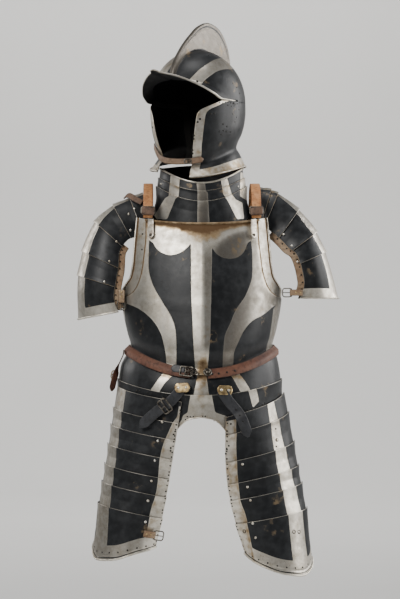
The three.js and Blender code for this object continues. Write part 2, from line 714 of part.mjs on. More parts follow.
function waist() {
  const onFlange = (u, v) => {
    const p = torso(mix(BELT_TOP, 1, Math.min(1, v)), mix(...BELT_TURN, u));
    return p.add(vector(0, 0, -BELT_HANG * Math.max(0, v - 1)));
  };
  armour.add(
    plate("belt", BROWN, {
      at: onFlange,
      across: steps(52),
      along: [0, (21 / 22 - BELT_TOP) / (1 - BELT_TOP), 1, 2],
      core: WAIST_MIDDLE,
      wall: LEATHER,
      raise: () => BELT_STAND_OFF,
    }),
    plate("fauld_upper", BLACK, {
      at: (u, v) => {
        const degrees = mix(-1, 1, u) * (v < 0 ? 82 : v < 0.1 ? 87 : 97);
        return v < 0 ? torso(mix(1, WAIST_ROW, -v * 0.4), degrees, 4) : skirt(v, degrees);
      },
      across: steps(26),
      along: [-1, 0, 0.25, SEAM_ROW, 0.57],
      core: WAIST_MIDDLE,
    }),
    plate("fauld_lower", BLACK, {
      at: (u, v) => {
        const degrees = mix(-97, 97, u);
        if (v <= 0.14) return skirt(SEAM_ROW + v / 2, degrees);
        const [from, to] = [skirt(SEAM_ROW + 0.07, degrees).z, skirt(1, degrees).z];
        const reach = (from - read(HEM, "z", Math.abs(degrees), "angle")) / (from - to);
        return skirt(mix(SEAM_ROW + 0.07, mix(SEAM_ROW + 0.07, 1, reach), (v - 0.14) / 0.86), degrees);
      },
      across: steps(26),
      along: [0, 0.14, 0.5, 0.92, 0.95, 1],
      core: WAIST_MIDDLE,
      raise: (u, v) => (v < 0.05 ? FLARE : v < 0.2 ? NEST : 0),
      lift: (u, v) => (v > 0.94 ? HEM_ROLL : 0),
    }),
  );
}

function tassets() {
  for (const design of TASSETS) {
    const surface = tassetSurface(design);
    const { edges, length, name, side } = design;
    const extra = OVERLAP / length;
    edges.slice(0, -1).forEach((from, i) => {
      const to = edges[i + 1];
      const [first, last] = [i === 0, i === edges.length - 2];
      const along = last
        ? [from, from + extra, mix(from, to, 0.55), 0.965, 0.975, 1]
        : [from, from + extra, to, to + extra];
      armour.add(
        plate("tasset_" + name + "_" + (i + 1), BLACK, {
          at: (u, v) => surface(v, u),
          across: steps(12),
          along,
          core: vector(side * 110, 0, -600),
          raise: (u, v) => (first ? 0 : v < from + extra / 2 ? FLARE : v < from + extra * 1.5 ? NEST : 0),
          lift: (u, v) => (last && v > 0.97 ? ROLL : 0),
        }),
      );
    });
  }
}

function spaudlers() {
  for (const design of SPAUDLERS) {
    const surface = spaudlerSurface(design);
    let from = 0;
    design.lames.forEach(([length], i) => {
      const to = from + length;
      const [first, last] = [i === 0, i === design.lames.length - 1];
      const start = first ? from : from - OVERLAP;
      const along = last
        ? [start, mix(from, to, 0.35), mix(from, to, 0.7), to - 6, to - 4, to]
        : [start, (start + to - OVERLAP) / 2, to - OVERLAP, to];
      armour.add(
        plate("spaudler_" + design.name + "_" + (i + 1), BLACK, {
          at: (u, v) => surface(v, mix(-SPAUDLER_REAR, SPAUDLER_FRONT, u)),
          across: steps(12),
          along,
          core: vector(design.side * 150, SHOULDER_Y, -100),
          raise: (u, v) => (last ? 0 : v > to - 1 ? FLARE : v > to - OVERLAP - 1 ? NEST : 0),
          lift: (u, v) => (last && v > to - 5 ? ROLL : 0),
        }),
      );
      from = to;
    });
  }
}

// Depth of the front surface of the skirt and the tassets at a place seen from the front.
const FRONT_POINTS = [];
const BREAST_POINTS = [];
for (const row of steps(80))
  for (const turn of steps(120, -90, 90)) {
    FRONT_POINTS.push(skirt(row, turn));
    BREAST_POINTS.push(torso(row, turn));
  }
for (const design of TASSETS) {
  const surface = tassetSurface(design);
  for (const share of steps(80, 0, 0.98)) for (const t of steps(80)) FRONT_POINTS.push(surface(share, t));
}
function onFront(surface, x, z, standOff) {
  const near = surface.filter((p) => Math.hypot(p.x - x, p.z - z) < 7);
  return vector(x, Math.min(...near.map((p) => p.y)) - standOff, z);
}

function tassetStraps() {
  for (const { name, side, points } of TASSET_STRAPS) {
    const path = points.map(({ x, z, off }) => onFront(FRONT_POINTS, x, z, off));
    const fitted = new THREE.CatmullRomCurve3(path).getPoints(18);
    armour.add(strap("tasset_strap_" + name, DARK, fitted, vector(...side), TASSET_STRAP_WIDTH, LEATHER));
  }
  const { points } = TASSET_STRAPS[0];
  const [before, seat, after] = points
    .slice(TASSET_BUCKLE_POINT - 1, TASSET_BUCKLE_POINT + 2)
    .map(({ x, z, off }) => onFront(FRONT_POINTS, x, z, off));
  const along = after.sub(before).normalize();
  const across = new THREE.Vector3().crossVectors(along, vector(0, -1, 0)).normalize();
  const out = new THREE.Vector3().crossVectors(across, along).normalize();
  if (out.y > 0) out.negate();
  const buckle = frame("tasset_buckle_right", IRON, TASSET_STRAP_WIDTH + 11, 22, 3.4, 2.4);
  buckle.matrixAutoUpdate = false;
  buckle.matrix.makeBasis(across, along, across.clone().cross(along));
  buckle.matrix.setPosition(seat.addScaledVector(out, BUCKLE_STAND_OFF));
  armour.add(buckle);
}

// A frame on a leather tab, not fastened: bar is the middle of the frame's bar, and hang the way that the
// frame points.
function looseBuckle(name, { bar, upright, hang, width, height, tab }) {
  const out = new THREE.Vector3().crossVectors(upright, hang).normalize();
  const axis = new THREE.Vector3().crossVectors(hang, out);
  const place = (ahead, off) => bar.clone().addScaledVector(hang, ahead).addScaledVector(out, off);
  const buckle = frame("buckle_" + name, IRON, width, height, LOOSE_BAR, LOOSE_BAR);
  buckle.matrixAutoUpdate = false;
  buckle.matrix.makeBasis(axis, hang, out).setPosition(place((height - LOOSE_BAR) / 2, 0));
  const path = [place(-tab, TAB_REACH)];
  for (const turn of steps(8, 90, -90).map(radians))
    path.push(place(TAB_REACH * Math.cos(turn), TAB_REACH * Math.sin(turn)));
  path.push(place(-tab, -TAB_REACH));
  armour.add(buckle, strap("buckle_tab_" + name, BROWN, path, axis, width - 7.5, 1.6));
}

function leathers() {
  for (const design of SPAUDLERS) {
    const surface = spaudlerSurface(design);
    const total = design.lames.reduce((sum, [length]) => sum + length, 0);
    const path = steps(14, design.leather[0], total - 12).map((distance) => {
      const edge = surface(distance, SPAUDLER_FRONT);
      const inner = surface(distance, SPAUDLER_FRONT + 4);
      edge.addScaledVector(inner.sub(edge).normalize(), design.leather[1]);
      return edge.add(vector(0, LEATHER_BEHIND, 0));
    });
    const side = (t) => {
      const distance = mix(design.leather[0], total - 12, t);
      const [ahead, behind] = [2, -2].map((turn) => surface(distance, SPAUDLER_FRONT + turn));
      return ahead.sub(behind).setY(0).normalize();
    };
    armour.add(strap("spaudler_leather_" + design.name, TAN, path, side, 20, LEATHER));
  }
}

function shoulderStraps() {
  const { x, width, points, buckle, tongue } = SHOULDER_STRAP;
  for (const [name, side] of [["right", -1], ["left", 1]]) {
    const line = new THREE.CatmullRomCurve3(points.map(([y, z]) => vector(side * x, y, z)));
    const over = line.getPoints(22);
    armour.add(strap("shoulder_strap_" + name, TAN, over, vector(1, 0, 0), width, LEATHER));
    const fastening = frame("shoulder_buckle_" + name, IRON, 32, 19, 3.2, 2.4);
    fastening.rotation.x = radians(buckle.lean);
    fastening.position.set(side * x, buckle.y, buckle.z);
    armour.add(fastening);
    const down = tongue.heights.map((z) =>
      onFront(BREAST_POINTS, side * tongue.x, Math.min(z, -38), tongue.standOff).setZ(z),
    );
    const across = vector(1, side * 0.75, 0).normalize();
    armour.add(strap("shoulder_tongue_" + name, WHITE, down, across, tongue.width, 1.6));
  }
}

function beltParts() {
  const [low, high] = [1, WAIST_ROW].map((row) => torso(row, BELT_BUCKLE));
  low.z -= BELT_HANG;
  const up = high.clone().sub(low).normalize();
  const across = torso(1, BELT_BUCKLE + 3).sub(torso(1, BELT_BUCKLE - 3)).normalize();
  const out = new THREE.Vector3().crossVectors(across, up).normalize();
  const buckle = frame("belt_buckle", IRON, 30, 24, 3.4, 3);
  buckle.matrixAutoUpdate = false;
  buckle.matrix.makeBasis(across, out.clone().cross(across), out);
  buckle.matrix.setPosition(low.add(high).multiplyScalar(0.5).addScaledVector(out, 2 * LEATHER + 2.9));
  armour.add(buckle);
  const hang = SIDE_STRAP.points.map(([x, z]) => vector(x, SIDE_STRAP.y, z));
  const facing = (t) => {
    const turn = radians(SIDE_STRAP.twist) * THREE.MathUtils.smoothstep(t, 0.3, 0.65);
    return vector(Math.sin(turn), Math.cos(turn), 0);
  };
  armour.add(strap("side_strap", BROWN, hang, facing, SIDE_STRAP.width, LEATHER));
}

helmet();
collar();
torsoPlates();
waist();
tassets();
spaudlers();
leathers();
shoulderStraps();
beltParts();
tassetStraps();
looseBuckle("right_arm", {
  bar: vector(-174.3, -70.4, -211),
  upright: vector(1, 0, 0),
  hang: vector(0, 0, -1),
  width: 21,
  height: 22,
  tab: 24,
});
looseBuckle("left_arm", {
  bar: vector(194, -71.1, -193),
  upright: vector(0, 0, -1),
  hang: vector(-1, 0, 0),
  width: 21,
  height: 22,
  tab: 24,
});
const tassetBuckleSeat = onFront(FRONT_POINTS, -104, -709, LOOSE_STAND_OFF);
looseBuckle("tasset", {
  bar: tassetBuckleSeat,
  upright: vector(-0.16, 0, -0.987),
  hang: tassetBuckleSeat.clone().sub(onFront(FRONT_POINTS, -127, -705, LOOSE_STAND_OFF)).normalize(),
  width: 22,
  height: 24,
  tab: 22,
});

export default armour;
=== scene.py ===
"""Looks of a black and white corselet armour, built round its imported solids.

Lengths are millimetres in the armour's own frame, +Z up and the front facing -Y, until a mesh is made.
"""

import logging
import math
from collections.abc import Callable, Iterable, Sequence
from dataclasses import dataclass, field
from enum import Enum

import bpy
import numpy as np
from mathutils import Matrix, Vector


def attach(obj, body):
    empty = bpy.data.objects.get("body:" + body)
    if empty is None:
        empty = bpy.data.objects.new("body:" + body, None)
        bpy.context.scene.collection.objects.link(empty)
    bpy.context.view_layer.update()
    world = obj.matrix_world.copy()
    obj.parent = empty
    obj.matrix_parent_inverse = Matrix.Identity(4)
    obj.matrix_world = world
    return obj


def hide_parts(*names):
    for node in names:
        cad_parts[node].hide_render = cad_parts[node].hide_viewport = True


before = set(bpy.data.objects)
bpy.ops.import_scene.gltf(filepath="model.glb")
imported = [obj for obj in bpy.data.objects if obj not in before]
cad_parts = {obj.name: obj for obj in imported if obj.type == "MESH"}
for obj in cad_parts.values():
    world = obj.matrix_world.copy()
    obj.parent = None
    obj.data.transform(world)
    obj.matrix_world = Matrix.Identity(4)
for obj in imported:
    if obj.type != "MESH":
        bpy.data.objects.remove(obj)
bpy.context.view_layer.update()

MM = 0.001
SEED = 7
Array = np.ndarray
Point = tuple[float, float, float]
Pixel = tuple[float, float]


class Body(Enum):
    """The bodies of the armour that pieces ride on."""

    ARMOUR = "armour"
    RIGHT_ARM = "right_arm_buckle"
    LEFT_ARM = "left_arm_buckle"
    TASSET = "tasset_buckle"


class Slot(Enum):
    """The record's material slots."""

    PLATE = "plate"
    TAN = "tan_leather"
    BROWN = "brown_leather"
    BLACK = "black_leather"
    IRON = "iron"


def smoothstep(value: Array, low: float, high: float) -> Array:
    """Returns 0 below low, 1 above high and a smooth rise between them."""
    t = np.clip((value - low) / (high - low), 0, 1)
    return t * t * (3 - 2 * t)


def mix(a: Array | float, b: Array | float, t: Array | float) -> Array | float:
    """Returns the value that lies the share t of the way from a to b."""
    return a + (b - a) * t


def power(value: Array, exponent: float) -> Array:
    """Returns the value raised to the exponent, with its sign kept."""
    return np.sign(value) * np.abs(value) ** exponent


def unit(vectors: Array) -> Array:
    """Returns the vectors at length 1."""
    return vectors / np.maximum(np.linalg.norm(vectors, axis=-1, keepdims=True), 1e-9)


def stack(x: Array | float, y: Array | float, z: Array | float) -> Array:
    """Returns the points that have these three coordinates."""
    return np.stack(np.broadcast_arrays(x, y, z), axis=-1).astype(float)


def hermite(xs: Sequence[float], ys: Sequence[float], at: Array | float) -> Array:
    """Reads a smooth curve through points that never overshoots them.

    Args:
        xs: Places of the points, rising.
        ys: Values there.
        at: Where to read.

    Returns:
        The values at those places.
    """
    x, y = np.asarray(xs, float), np.asarray(ys, float)
    secant = np.diff(y) / np.diff(x)
    tangent = np.zeros_like(x)
    tangent[0], tangent[-1] = secant[0], secant[-1]
    before, after = secant[:-1], secant[1:]
    product, total = before * after, before + after
    tangent[1:-1] = np.where(product > 0, 2 * product / np.where(total == 0, 1, total), 0)
    at = np.clip(np.asarray(at, float), x[0], x[-1])
    i = np.clip(np.searchsorted(x, at, side="right") - 1, 0, len(x) - 2)
    width = x[i + 1] - x[i]
    t = (at - x[i]) / width
    rise = y[i] * (1 + 2 * t) * (1 - t) ** 2 + y[i + 1] * t * t * (3 - 2 * t)
    return rise + width * (tangent[i] * t * (1 - t) ** 2 + tangent[i + 1] * t * t * (t - 1))


@dataclass(frozen=True)
class Table:
    """A table of sections with named columns, read as smooth curves down its rows."""

    columns: tuple[str, ...]
    rows: tuple[tuple[float, ...], ...]
    key: str = ""

    def read(self, column: str, at: Array | float) -> Array:
        """Returns the column's value at a share of the way down, or at a value of the key column."""
        ys = [row[self.columns.index(column)] for row in self.rows]
        if self.key:
            xs = [row[self.columns.index(self.key)] for row in self.rows]
        else:
            xs = np.linspace(0, 1, len(self.rows))
        return hermite(xs, ys, at)


@dataclass(frozen=True)
class Photo:
    """The camera that took the photograph, which is 400 by 599 pixels."""

    width: int = 400
    height: int = 599
    azimuth: float = -1.0
    distance: float = 4600.0
    level: float = -209.0
    pixel: float = 2.2
    middle: Pixel = (201.5, 300.0)

    def axes(self) -> tuple[Array, Array, Array, Array]:
        """Returns the camera's place and the ways that it looks, right and up."""
        turn = math.radians(self.azimuth)
        ahead = np.array([-math.sin(turn), math.cos(turn), 0])
        right = np.array([math.cos(turn), math.sin(turn), 0])
        up = np.array([0.0, 0, 1])
        return up * self.level - ahead * self.distance, ahead, right, up

    def pixels(self, points: Array) -> Array:
        """Returns where points are seen in the photograph, in pixels."""
        eye, ahead, right, up = self.axes()
        away = points - eye
        scale = self.distance / self.pixel / (away @ ahead)
        px = self.middle[0] + (away @ right) * scale
        return np.stack([px, self.middle[1] - (away @ up) * scale], axis=-1)

    def ray(self, pixel: Pixel) -> tuple[Array, Array]:
        """Returns the camera's place and the way to a pixel."""
        eye, ahead, right, up = self.axes()
        x = (pixel[0] - self.middle[0]) * self.pixel / self.distance
        y = (self.middle[1] - pixel[1]) * self.pixel / self.distance
        return eye, ahead + right * x + up * y


PHOTO = Photo()


def through(*points: Pixel, steps: int = 6) -> list[Pixel]:
    """Returns a curve through given points, as more points close together."""
    p = np.array(points, float)
    padded = np.vstack([2 * p[0] - p[1], p, 2 * p[-1] - p[-2]])
    t = np.arange(steps)[:, None] / steps
    curve = []
    for a, b, c, d in zip(padded, padded[1:], padded[2:], padded[3:]):
        bend = (2 * a - 5 * b + 4 * c - d) * t**2 + (3 * b - a - 3 * c + d) * t**3
        curve.append(b + 0.5 * ((c - a) * t + bend))
    return [tuple(q) for q in np.vstack([*curve, p[-1:]])]


def inside_by(pixels: Array, outline: Sequence[Pixel]) -> Array:
    """Measures how far pixels lie inside a closed outline.

    Args:
        pixels: Pixels of the photograph.
        outline: Corners of the outline.

    Returns:
        Distances in pixels, negative outside.
    """
    corners = np.array(outline, float)
    nearest = np.full(len(pixels), 1e9)
    within = np.zeros(len(pixels), bool)
    for a, b in zip(corners, np.roll(corners, -1, axis=0)):
        side = b - a
        share = np.clip((pixels - a) @ side / max(side @ side, 1e-9), 0, 1)
        nearest = np.minimum(nearest, np.linalg.norm(pixels - a - share[:, None] * side, axis=1))
        crosses = (a[1] > pixels[:, 1]) != (b[1] > pixels[:, 1])
        rise = side[1] if side[1] else 1e-9
        within ^= crosses & (pixels[:, 0] < a[0] + (pixels[:, 1] - a[1]) * side[0] / rise)
    return np.where(within, nearest, -nearest)


class Number:
    """A number in a node tree. Python's operators on it add Math nodes."""

    def __init__(self, tree: "Nodes", socket: bpy.types.NodeSocket) -> None:
        """Wraps an output socket of the tree."""
        self.tree = tree
        self.socket = socket

    def _math(self, operation: str, *values: "Number | float") -> "Number":
        """Returns the result of a Math node on the values."""
        made = self.tree.add("ShaderNodeMath", {"operation": operation}, dict(enumerate(values)))
        return Number(self.tree, made.outputs[0])

    def __add__(self, other: "Number | float") -> "Number":
        """Returns the sum."""
        return self._math("ADD", self, other)

    __radd__ = __add__

    def __sub__(self, other: "Number | float") -> "Number":
        """Returns the difference."""
        return self._math("SUBTRACT", self, other)

    def __rsub__(self, other: float) -> "Number":
        """Returns the difference, the other way round."""
        return self._math("SUBTRACT", other, self)

    def __mul__(self, other: "Number | float") -> "Number":
        """Returns the product."""
        return self._math("MULTIPLY", self, other)

    __rmul__ = __mul__

    def most(self, other: "Number | float") -> "Number":
        """Returns the larger of the two."""
        return self._math("MAXIMUM", self, other)

    def smooth(self, low: float, high: float) -> "Number":
        """Returns 0 below low, 1 above high and a smooth rise between them."""
        settings = {"interpolation_type": "SMOOTHSTEP"}
        ends = {"Value": self, "From Min": low, "From Max": high}
        made = self.tree.add("ShaderNodeMapRange", settings, ends)
        return Number(self.tree, made.outputs["Result"])


class Nodes:
    """Builds a node tree, of a material or of Geometry Nodes."""

    def __init__(self, tree: bpy.types.NodeTree) -> None:
        """Starts with the tree empty."""
        self.tree = tree
        tree.nodes.clear()

    def add(self, kind: str, settings: dict | None = None, inputs: dict | None = None) -> bpy.types.Node:
        """Adds one node.

        Args:
            kind: The node's type.
            settings: Its properties, set before its sockets.
            inputs: Values, sockets or numbers by the name or place of the input.

        Returns:
            The node.
        """
        made = self.tree.nodes.new(kind)
        for name, value in (settings or {}).items():
            setattr(made, name, value)
        for key, value in (inputs or {}).items():
            value = value.socket if isinstance(value, Number) else value
            if isinstance(value, bpy.types.NodeSocket):
                self.tree.links.new(value, made.inputs[key])
            else:
                made.inputs[key].default_value = value
        return made

    def object_place(self) -> bpy.types.NodeSocket:
        """Returns the Object coordinates."""
        return self.add("ShaderNodeTexCoord").outputs["Object"]

    def attribute(self, name: str) -> Number:
        """Returns a number kept on the mesh."""
        return Number(self, self.add("ShaderNodeAttribute", {"attribute_name": name}).outputs["Fac"])

    def noise(self, scale: float, detail: float, offset: float = 0) -> Number:
        """Returns a cloudy pattern on the Object coordinates, from 0 to 1."""
        place = self.add(
            "ShaderNodeMapping",
            {},
            {"Vector": self.object_place(), "Location": (offset, offset, offset)},
        ).outputs[0]
        made = self.add("ShaderNodeTexNoise", {}, {"Vector": place, "Scale": scale, "Detail": detail})
        return Number(self, made.outputs[0])

    def cells(self, scale: float) -> Number:
        """Returns the distance to scattered points, for pits and pores."""
        made = self.add("ShaderNodeTexVoronoi", {}, {"Vector": self.object_place(), "Scale": scale})
        return Number(self, made.outputs["Distance"])

    def blend(self, factor: Number | float, a: object, b: object) -> bpy.types.NodeSocket:
        """Returns the colour between a and b by a factor."""
        a = (*a, 1) if isinstance(a, tuple) else a
        b = (*b, 1) if isinstance(b, tuple) else b
        made = self.add("ShaderNodeMix", {"data_type": "RGBA"}, {0: factor, 6: a, 7: b})
        return made.outputs[2]

    def bump(self, height: Number, distance: float, strength: float) -> bpy.types.NodeSocket:
        """Returns a normal that shows the height, with the distance in millimetres."""
        inputs = {"Height": height, "Distance": distance * MM, "Strength": strength}
        return self.add("ShaderNodeBump", {}, inputs).outputs["Normal"]

    def surface(self, **inputs: object) -> None:
        """Ends the material in a Principled shader with these inputs, named with _ for a space."""
        named = {name.replace("_", " "): value for name, value in inputs.items()}
        shader = self.add("ShaderNodeBsdfPrincipled", {}, named)
        self.add("ShaderNodeOutputMaterial", {}, {"Surface": shader.outputs[0]})


def material(name: str) -> tuple[bpy.types.Material, Nodes]:
    """Returns a new material and the builder of its nodes."""
    made = bpy.data.materials.new(name)
    made.use_nodes = True
    return made, Nodes(made.node_tree)


Colour = tuple[float, float, float]


@dataclass(frozen=True)
class SteelFinish:
    """Sheet steel, part blackened and part bright, with rust and dents, edges partly worn and partly painted
    highlight, and painted shade inside and in some grey.
    """

    name: str = "black_and_bright_steel"
    black: Colour = (0.011, 0.012, 0.0135)
    slate: Colour = (0.028, 0.030, 0.033)
    bright: Colour = (0.68, 0.645, 0.575)
    dull: Colour = (0.38, 0.345, 0.28)
    grey: Colour = (0.125, 0.113, 0.098)
    tan: Colour = (0.33, 0.23, 0.12)
    rust: Colour = (0.075, 0.036, 0.012)
    pit: Colour = (0.02, 0.016, 0.012)
    # Near-black painted shade, for the inside of the plates and the shaded rims and rolls.
    painted_hollow_shade: Colour = (0.006, 0.006, 0.007)

    def build(self) -> bpy.types.Material:
        """Returns the material, which reads bright, edge, stain and inside from the mesh."""
        made, nodes = material(self.name)
        cloud = nodes.noise(10, 4)
        mottle = nodes.noise(75, 6, offset=3)
        grain = nodes.noise(480, 3)
        wander = (mottle - 0.5) * 1.6
        inside = nodes.attribute("inside")
        bright = (nodes.attribute("bright") + wander).smooth(-0.5, 0.5)
        # Bright edges: partly real wear of the blackening, partly a painted highlight for the light that
        # rounded edges catch.
        worn = (nodes.attribute("edge") * -1 + wander + 1.0).smooth(0, 1.1) * 0.6
        metal = bright.most(worn)
        blackened = nodes.blend((cloud * 0.6 + mottle * 0.6).smooth(0.42, 0.85), self.black, self.slate)
        dulling = (cloud * 0.6 + mottle * 0.6 + grain * 0.2).smooth(0.5, 0.95)
        polished = nodes.blend(dulling, self.bright, self.dull)
        stain = nodes.attribute("stain")
        # Negative stain paints grey: in places patina, and on the comb and the breastplate's shaded facets
        # painted shade.
        polished = nodes.blend((stain * -1 + wander * 0.12).smooth(0.05, 0.85), polished, self.grey)
        spread = stain + wander * 0.5 + (cloud - 0.5) * 0.5
        polished = nodes.blend(spread.smooth(0.12, 0.62) * 0.9, polished, self.tan)
        rusty = spread.smooth(0.42, 1.0)
        polished = nodes.blend(rusty * 0.92, polished, self.rust)
        colour = nodes.blend(metal, blackened, polished)
        scab = nodes.noise(21, 5, offset=9).smooth(0.6, 0.72) * mottle.smooth(0.5, 0.6)
        colour = nodes.blend(scab * 0.45, colour, self.tan)
        pits = (0.19 - nodes.cells(190)).smooth(0, 0.1) * cloud.smooth(0.48, 0.62)
        colour = nodes.blend(pits * 0.75, colour, self.pit)
        # Painted shade: where the mesh marks inside, the colour turns near-black.
        colour = nodes.blend(inside, colour, self.painted_hollow_shade)
        relief = bright * -0.5 + mottle * 0.4 + grain * 0.08 - pits * 0.5 + nodes.noise(26, 2) * 0.8
        nodes.surface(
            Base_Color=colour,
            Metallic=metal * 0.6 + 0.28 - rusty * metal * 0.55,
            Roughness=mottle * 0.26 + 0.3 + rusty * 0.3 + inside * 0.3,
            Specular_IOR_Level=0.3,
            Normal=nodes.bump(relief, 0.9, 0.5),
        )
        return made


@dataclass(frozen=True)
class LeatherFinish:
    """Strap leather, darker in its creases and along its edges."""

    name: str
    face: Colour
    deep: Colour
    rub: Colour
    rough: float = 0.52

    def build(self) -> bpy.types.Material:
        """Returns the material, which reads edge from the mesh."""
        made, nodes = material(self.name)
        cloud = nodes.noise(38, 4)
        grain = nodes.cells(900)
        crease = nodes.noise(150, 5, offset=2)
        edge = (nodes.attribute("edge") * -1 + 1.8 + (crease - 0.5) * 2).smooth(0, 1.6)
        colour = nodes.blend(cloud.smooth(0.3, 0.7), self.face, self.rub)
        colour = nodes.blend((crease.smooth(0.45, 0.7) * 0.5).most(edge * 0.75), colour, self.deep)
        nodes.surface(
            Base_Color=colour,
            Roughness=self.rough + crease * 0.25,
            Normal=nodes.bump(grain * 0.3 + crease * 0.8, 0.5, 0.5),
        )
        return made


@dataclass(frozen=True)
class MetalFinish:
    """Plain metal of fittings: iron, brass or bright rivets."""

    name: str
    face: Colour
    shade: Colour
    rough: float = 0.3

    def build(self) -> bpy.types.Material:
        """Returns the material."""
        made, nodes = material(self.name)
        cloud = nodes.noise(120, 5)
        grain = nodes.noise(700, 3, offset=4)
        nodes.surface(
            Base_Color=nodes.blend(cloud.smooth(0.35, 0.68), self.face, self.shade),
            Metallic=0.95,
            Roughness=cloud * 0.3 + self.rough,
            Normal=nodes.bump(grain + cloud, 0.25, 0.4),
        )
        return made


@dataclass(frozen=True)
class PlainFinish:
    """A dull finish for floor and backdrop, and the near-black painted shade that stands in for holes and
    seams.
    """

    name: str
    face: Colour
    shade: Colour
    scale: float = 3.0

    def build(self) -> bpy.types.Material:
        """Returns the material."""
        made, nodes = material(self.name)
        cloud = nodes.noise(self.scale, 3)
        nodes.surface(Base_Color=nodes.blend(cloud, self.face, self.shade), Roughness=0.85)
        return made


class Palette:
    """Every finish of the armour, built once."""

    def __init__(self) -> None:
        """Builds the materials."""
        self.steel = SteelFinish().build()
        self.tan = LeatherFinish(
            "tan_leather", (0.40, 0.16, 0.05), (0.09, 0.035, 0.015), (0.52, 0.25, 0.10)
        ).build()
        self.worn = LeatherFinish(
            "worn_leather", (0.22, 0.13, 0.07), (0.05, 0.03, 0.018), (0.34, 0.25, 0.16)
        ).build()
        self.chin = LeatherFinish(
            "chin_leather", (0.14, 0.08, 0.045), (0.035, 0.02, 0.013), (0.21, 0.14, 0.09)
        ).build()
        self.brown = LeatherFinish(
            "brown_leather", (0.085, 0.03, 0.018), (0.02, 0.010, 0.007), (0.15, 0.06, 0.033)
        ).build()
        self.black = LeatherFinish(
            "black_leather", (0.012, 0.013, 0.016), (0.004, 0.004, 0.005), (0.032, 0.034, 0.040), 0.4
        ).build()
        self.dark = LeatherFinish(
            "dark_leather", (0.075, 0.04, 0.024), (0.02, 0.012, 0.009), (0.14, 0.08, 0.05)
        ).build()
        self.iron = MetalFinish("dull_iron", (0.19, 0.175, 0.15), (0.06, 0.05, 0.04)).build()
        self.dark_iron = MetalFinish("dark_iron", (0.085, 0.075, 0.065), (0.03, 0.024, 0.019), 0.35).build()
        self.steel_strap = MetalFinish("bright_strap", (0.72, 0.68, 0.60), (0.40, 0.34, 0.27)).build()
        self.stud = MetalFinish("bright_studs", (0.80, 0.77, 0.70), (0.42, 0.36, 0.28), 0.2).build()
        self.brass = MetalFinish("worn_brass", (0.58, 0.44, 0.22), (0.22, 0.15, 0.08)).build()
        # Near-black painted shade that stands in for the dark seen through holes and seams.
        self.hole = PlainFinish("hole_dark", (0.004, 0.004, 0.004), (0.012, 0.010, 0.008), 300).build()


@dataclass
class Skin:
    """The outside of a plate: a grid of points with the way that each faces."""

    points: Array
    facing: Array
    u: Array
    v: Array

    def flat(self) -> tuple[Array, Array]:
        """Returns the points and their facings as plain lists."""
        return self.points.reshape(-1, 3), self.facing.reshape(-1, 3)


@dataclass
class Field:
    """What a pattern may read at every point of a plate's grid, with distances in millimetres."""

    points: Array
    u: Array
    v: Array
    from_left: Array
    from_right: Array
    from_top: Array
    from_bottom: Array
    pixels: Array


Pattern = Callable[[Field], Array]
NEVER = -9.0
ALWAYS = 9.0


@dataclass(frozen=True)
class Borders:
    """Bright borders along a plate's edges, each with its width."""

    left: float = 0
    right: float = 0
    top: float = 0
    bottom: float = 0

    def __call__(self, at: Field) -> Array:
        """Returns how far each point lies inside a bright border."""
        inside = np.full(at.u.shape, NEVER)
        pairs = (
            (self.left, at.from_left),
            (self.right, at.from_right),
            (self.top, at.from_top),
            (self.bottom, at.from_bottom),
        )
        for width, distance in pairs:
            if width:
                inside = np.maximum(inside, width - distance)
        return inside


@dataclass(frozen=True)
class Seen:
    """Outlines seen in the photograph: bright ones, or black ones in a bright plate."""

    outlines: tuple[tuple[Pixel, ...], ...]
    black: bool = False

    def __call__(self, at: Field) -> Array:
        """Returns how far each point lies inside what is bright, in millimetres."""
        pixels = at.pixels.reshape(-1, 2)
        inside = np.max([inside_by(pixels, outline) for outline in self.outlines], axis=0)
        inside = inside.reshape(at.u.shape) * PHOTO.pixel
        return -inside if self.black else inside


def either(*patterns: Pattern) -> Pattern:
    """Returns the pattern that is bright where any of these is."""
    return lambda at: np.max([pattern(at) for pattern in patterns], axis=0)


def plain(at: Field) -> Array:
    """Returns a pattern that is bright nowhere."""
    return np.full(at.u.shape, NEVER)


def all_bright(at: Field) -> Array:
    """Returns a pattern that is bright everywhere."""
    return np.full(at.u.shape, ALWAYS)


def mesh_piece(
    name: str, points: Array, faces: Sequence[Sequence[int]], finish: bpy.types.Material,
    numbers: dict[str, Array] | None = None,
) -> bpy.types.Object:
    """Makes a mesh object.

    Args:
        name: The piece's name.
        points: Its points in millimetres.
        faces: The corners of each face.
        finish: Its material.
        numbers: Numbers kept on its points, by name.

    Returns:
        The object, at the origin.
    """
    mesh = bpy.data.meshes.new(name)
    mesh.from_pydata((points * MM).tolist(), [], faces)
    mesh.polygons.foreach_set("use_smooth", [True] * len(mesh.polygons))
    for key, values in (numbers or {}).items():
        attribute = mesh.attributes.new(key, "FLOAT", "POINT")
        attribute.data.foreach_set("value", np.asarray(values, np.float32))
    mesh.materials.append(finish)
    made = bpy.data.objects.new(name, mesh)
    bpy.context.scene.collection.objects.link(made)
    return made


WALL = 1.8
ROLL_RADIUS = 2.1
ROLL_SIDES = 10
# Painted shade: a rim's inner corner is at least this dark in the near-black inside colour.
HEEL_PAINTED_SHADE = 0.7  # least darkness of a rim's inner corner
FORM_SEGMENTS = 12  # segments round each small fitting
RIM_SWELL = 0.25
EDGE_INSET = 1.1


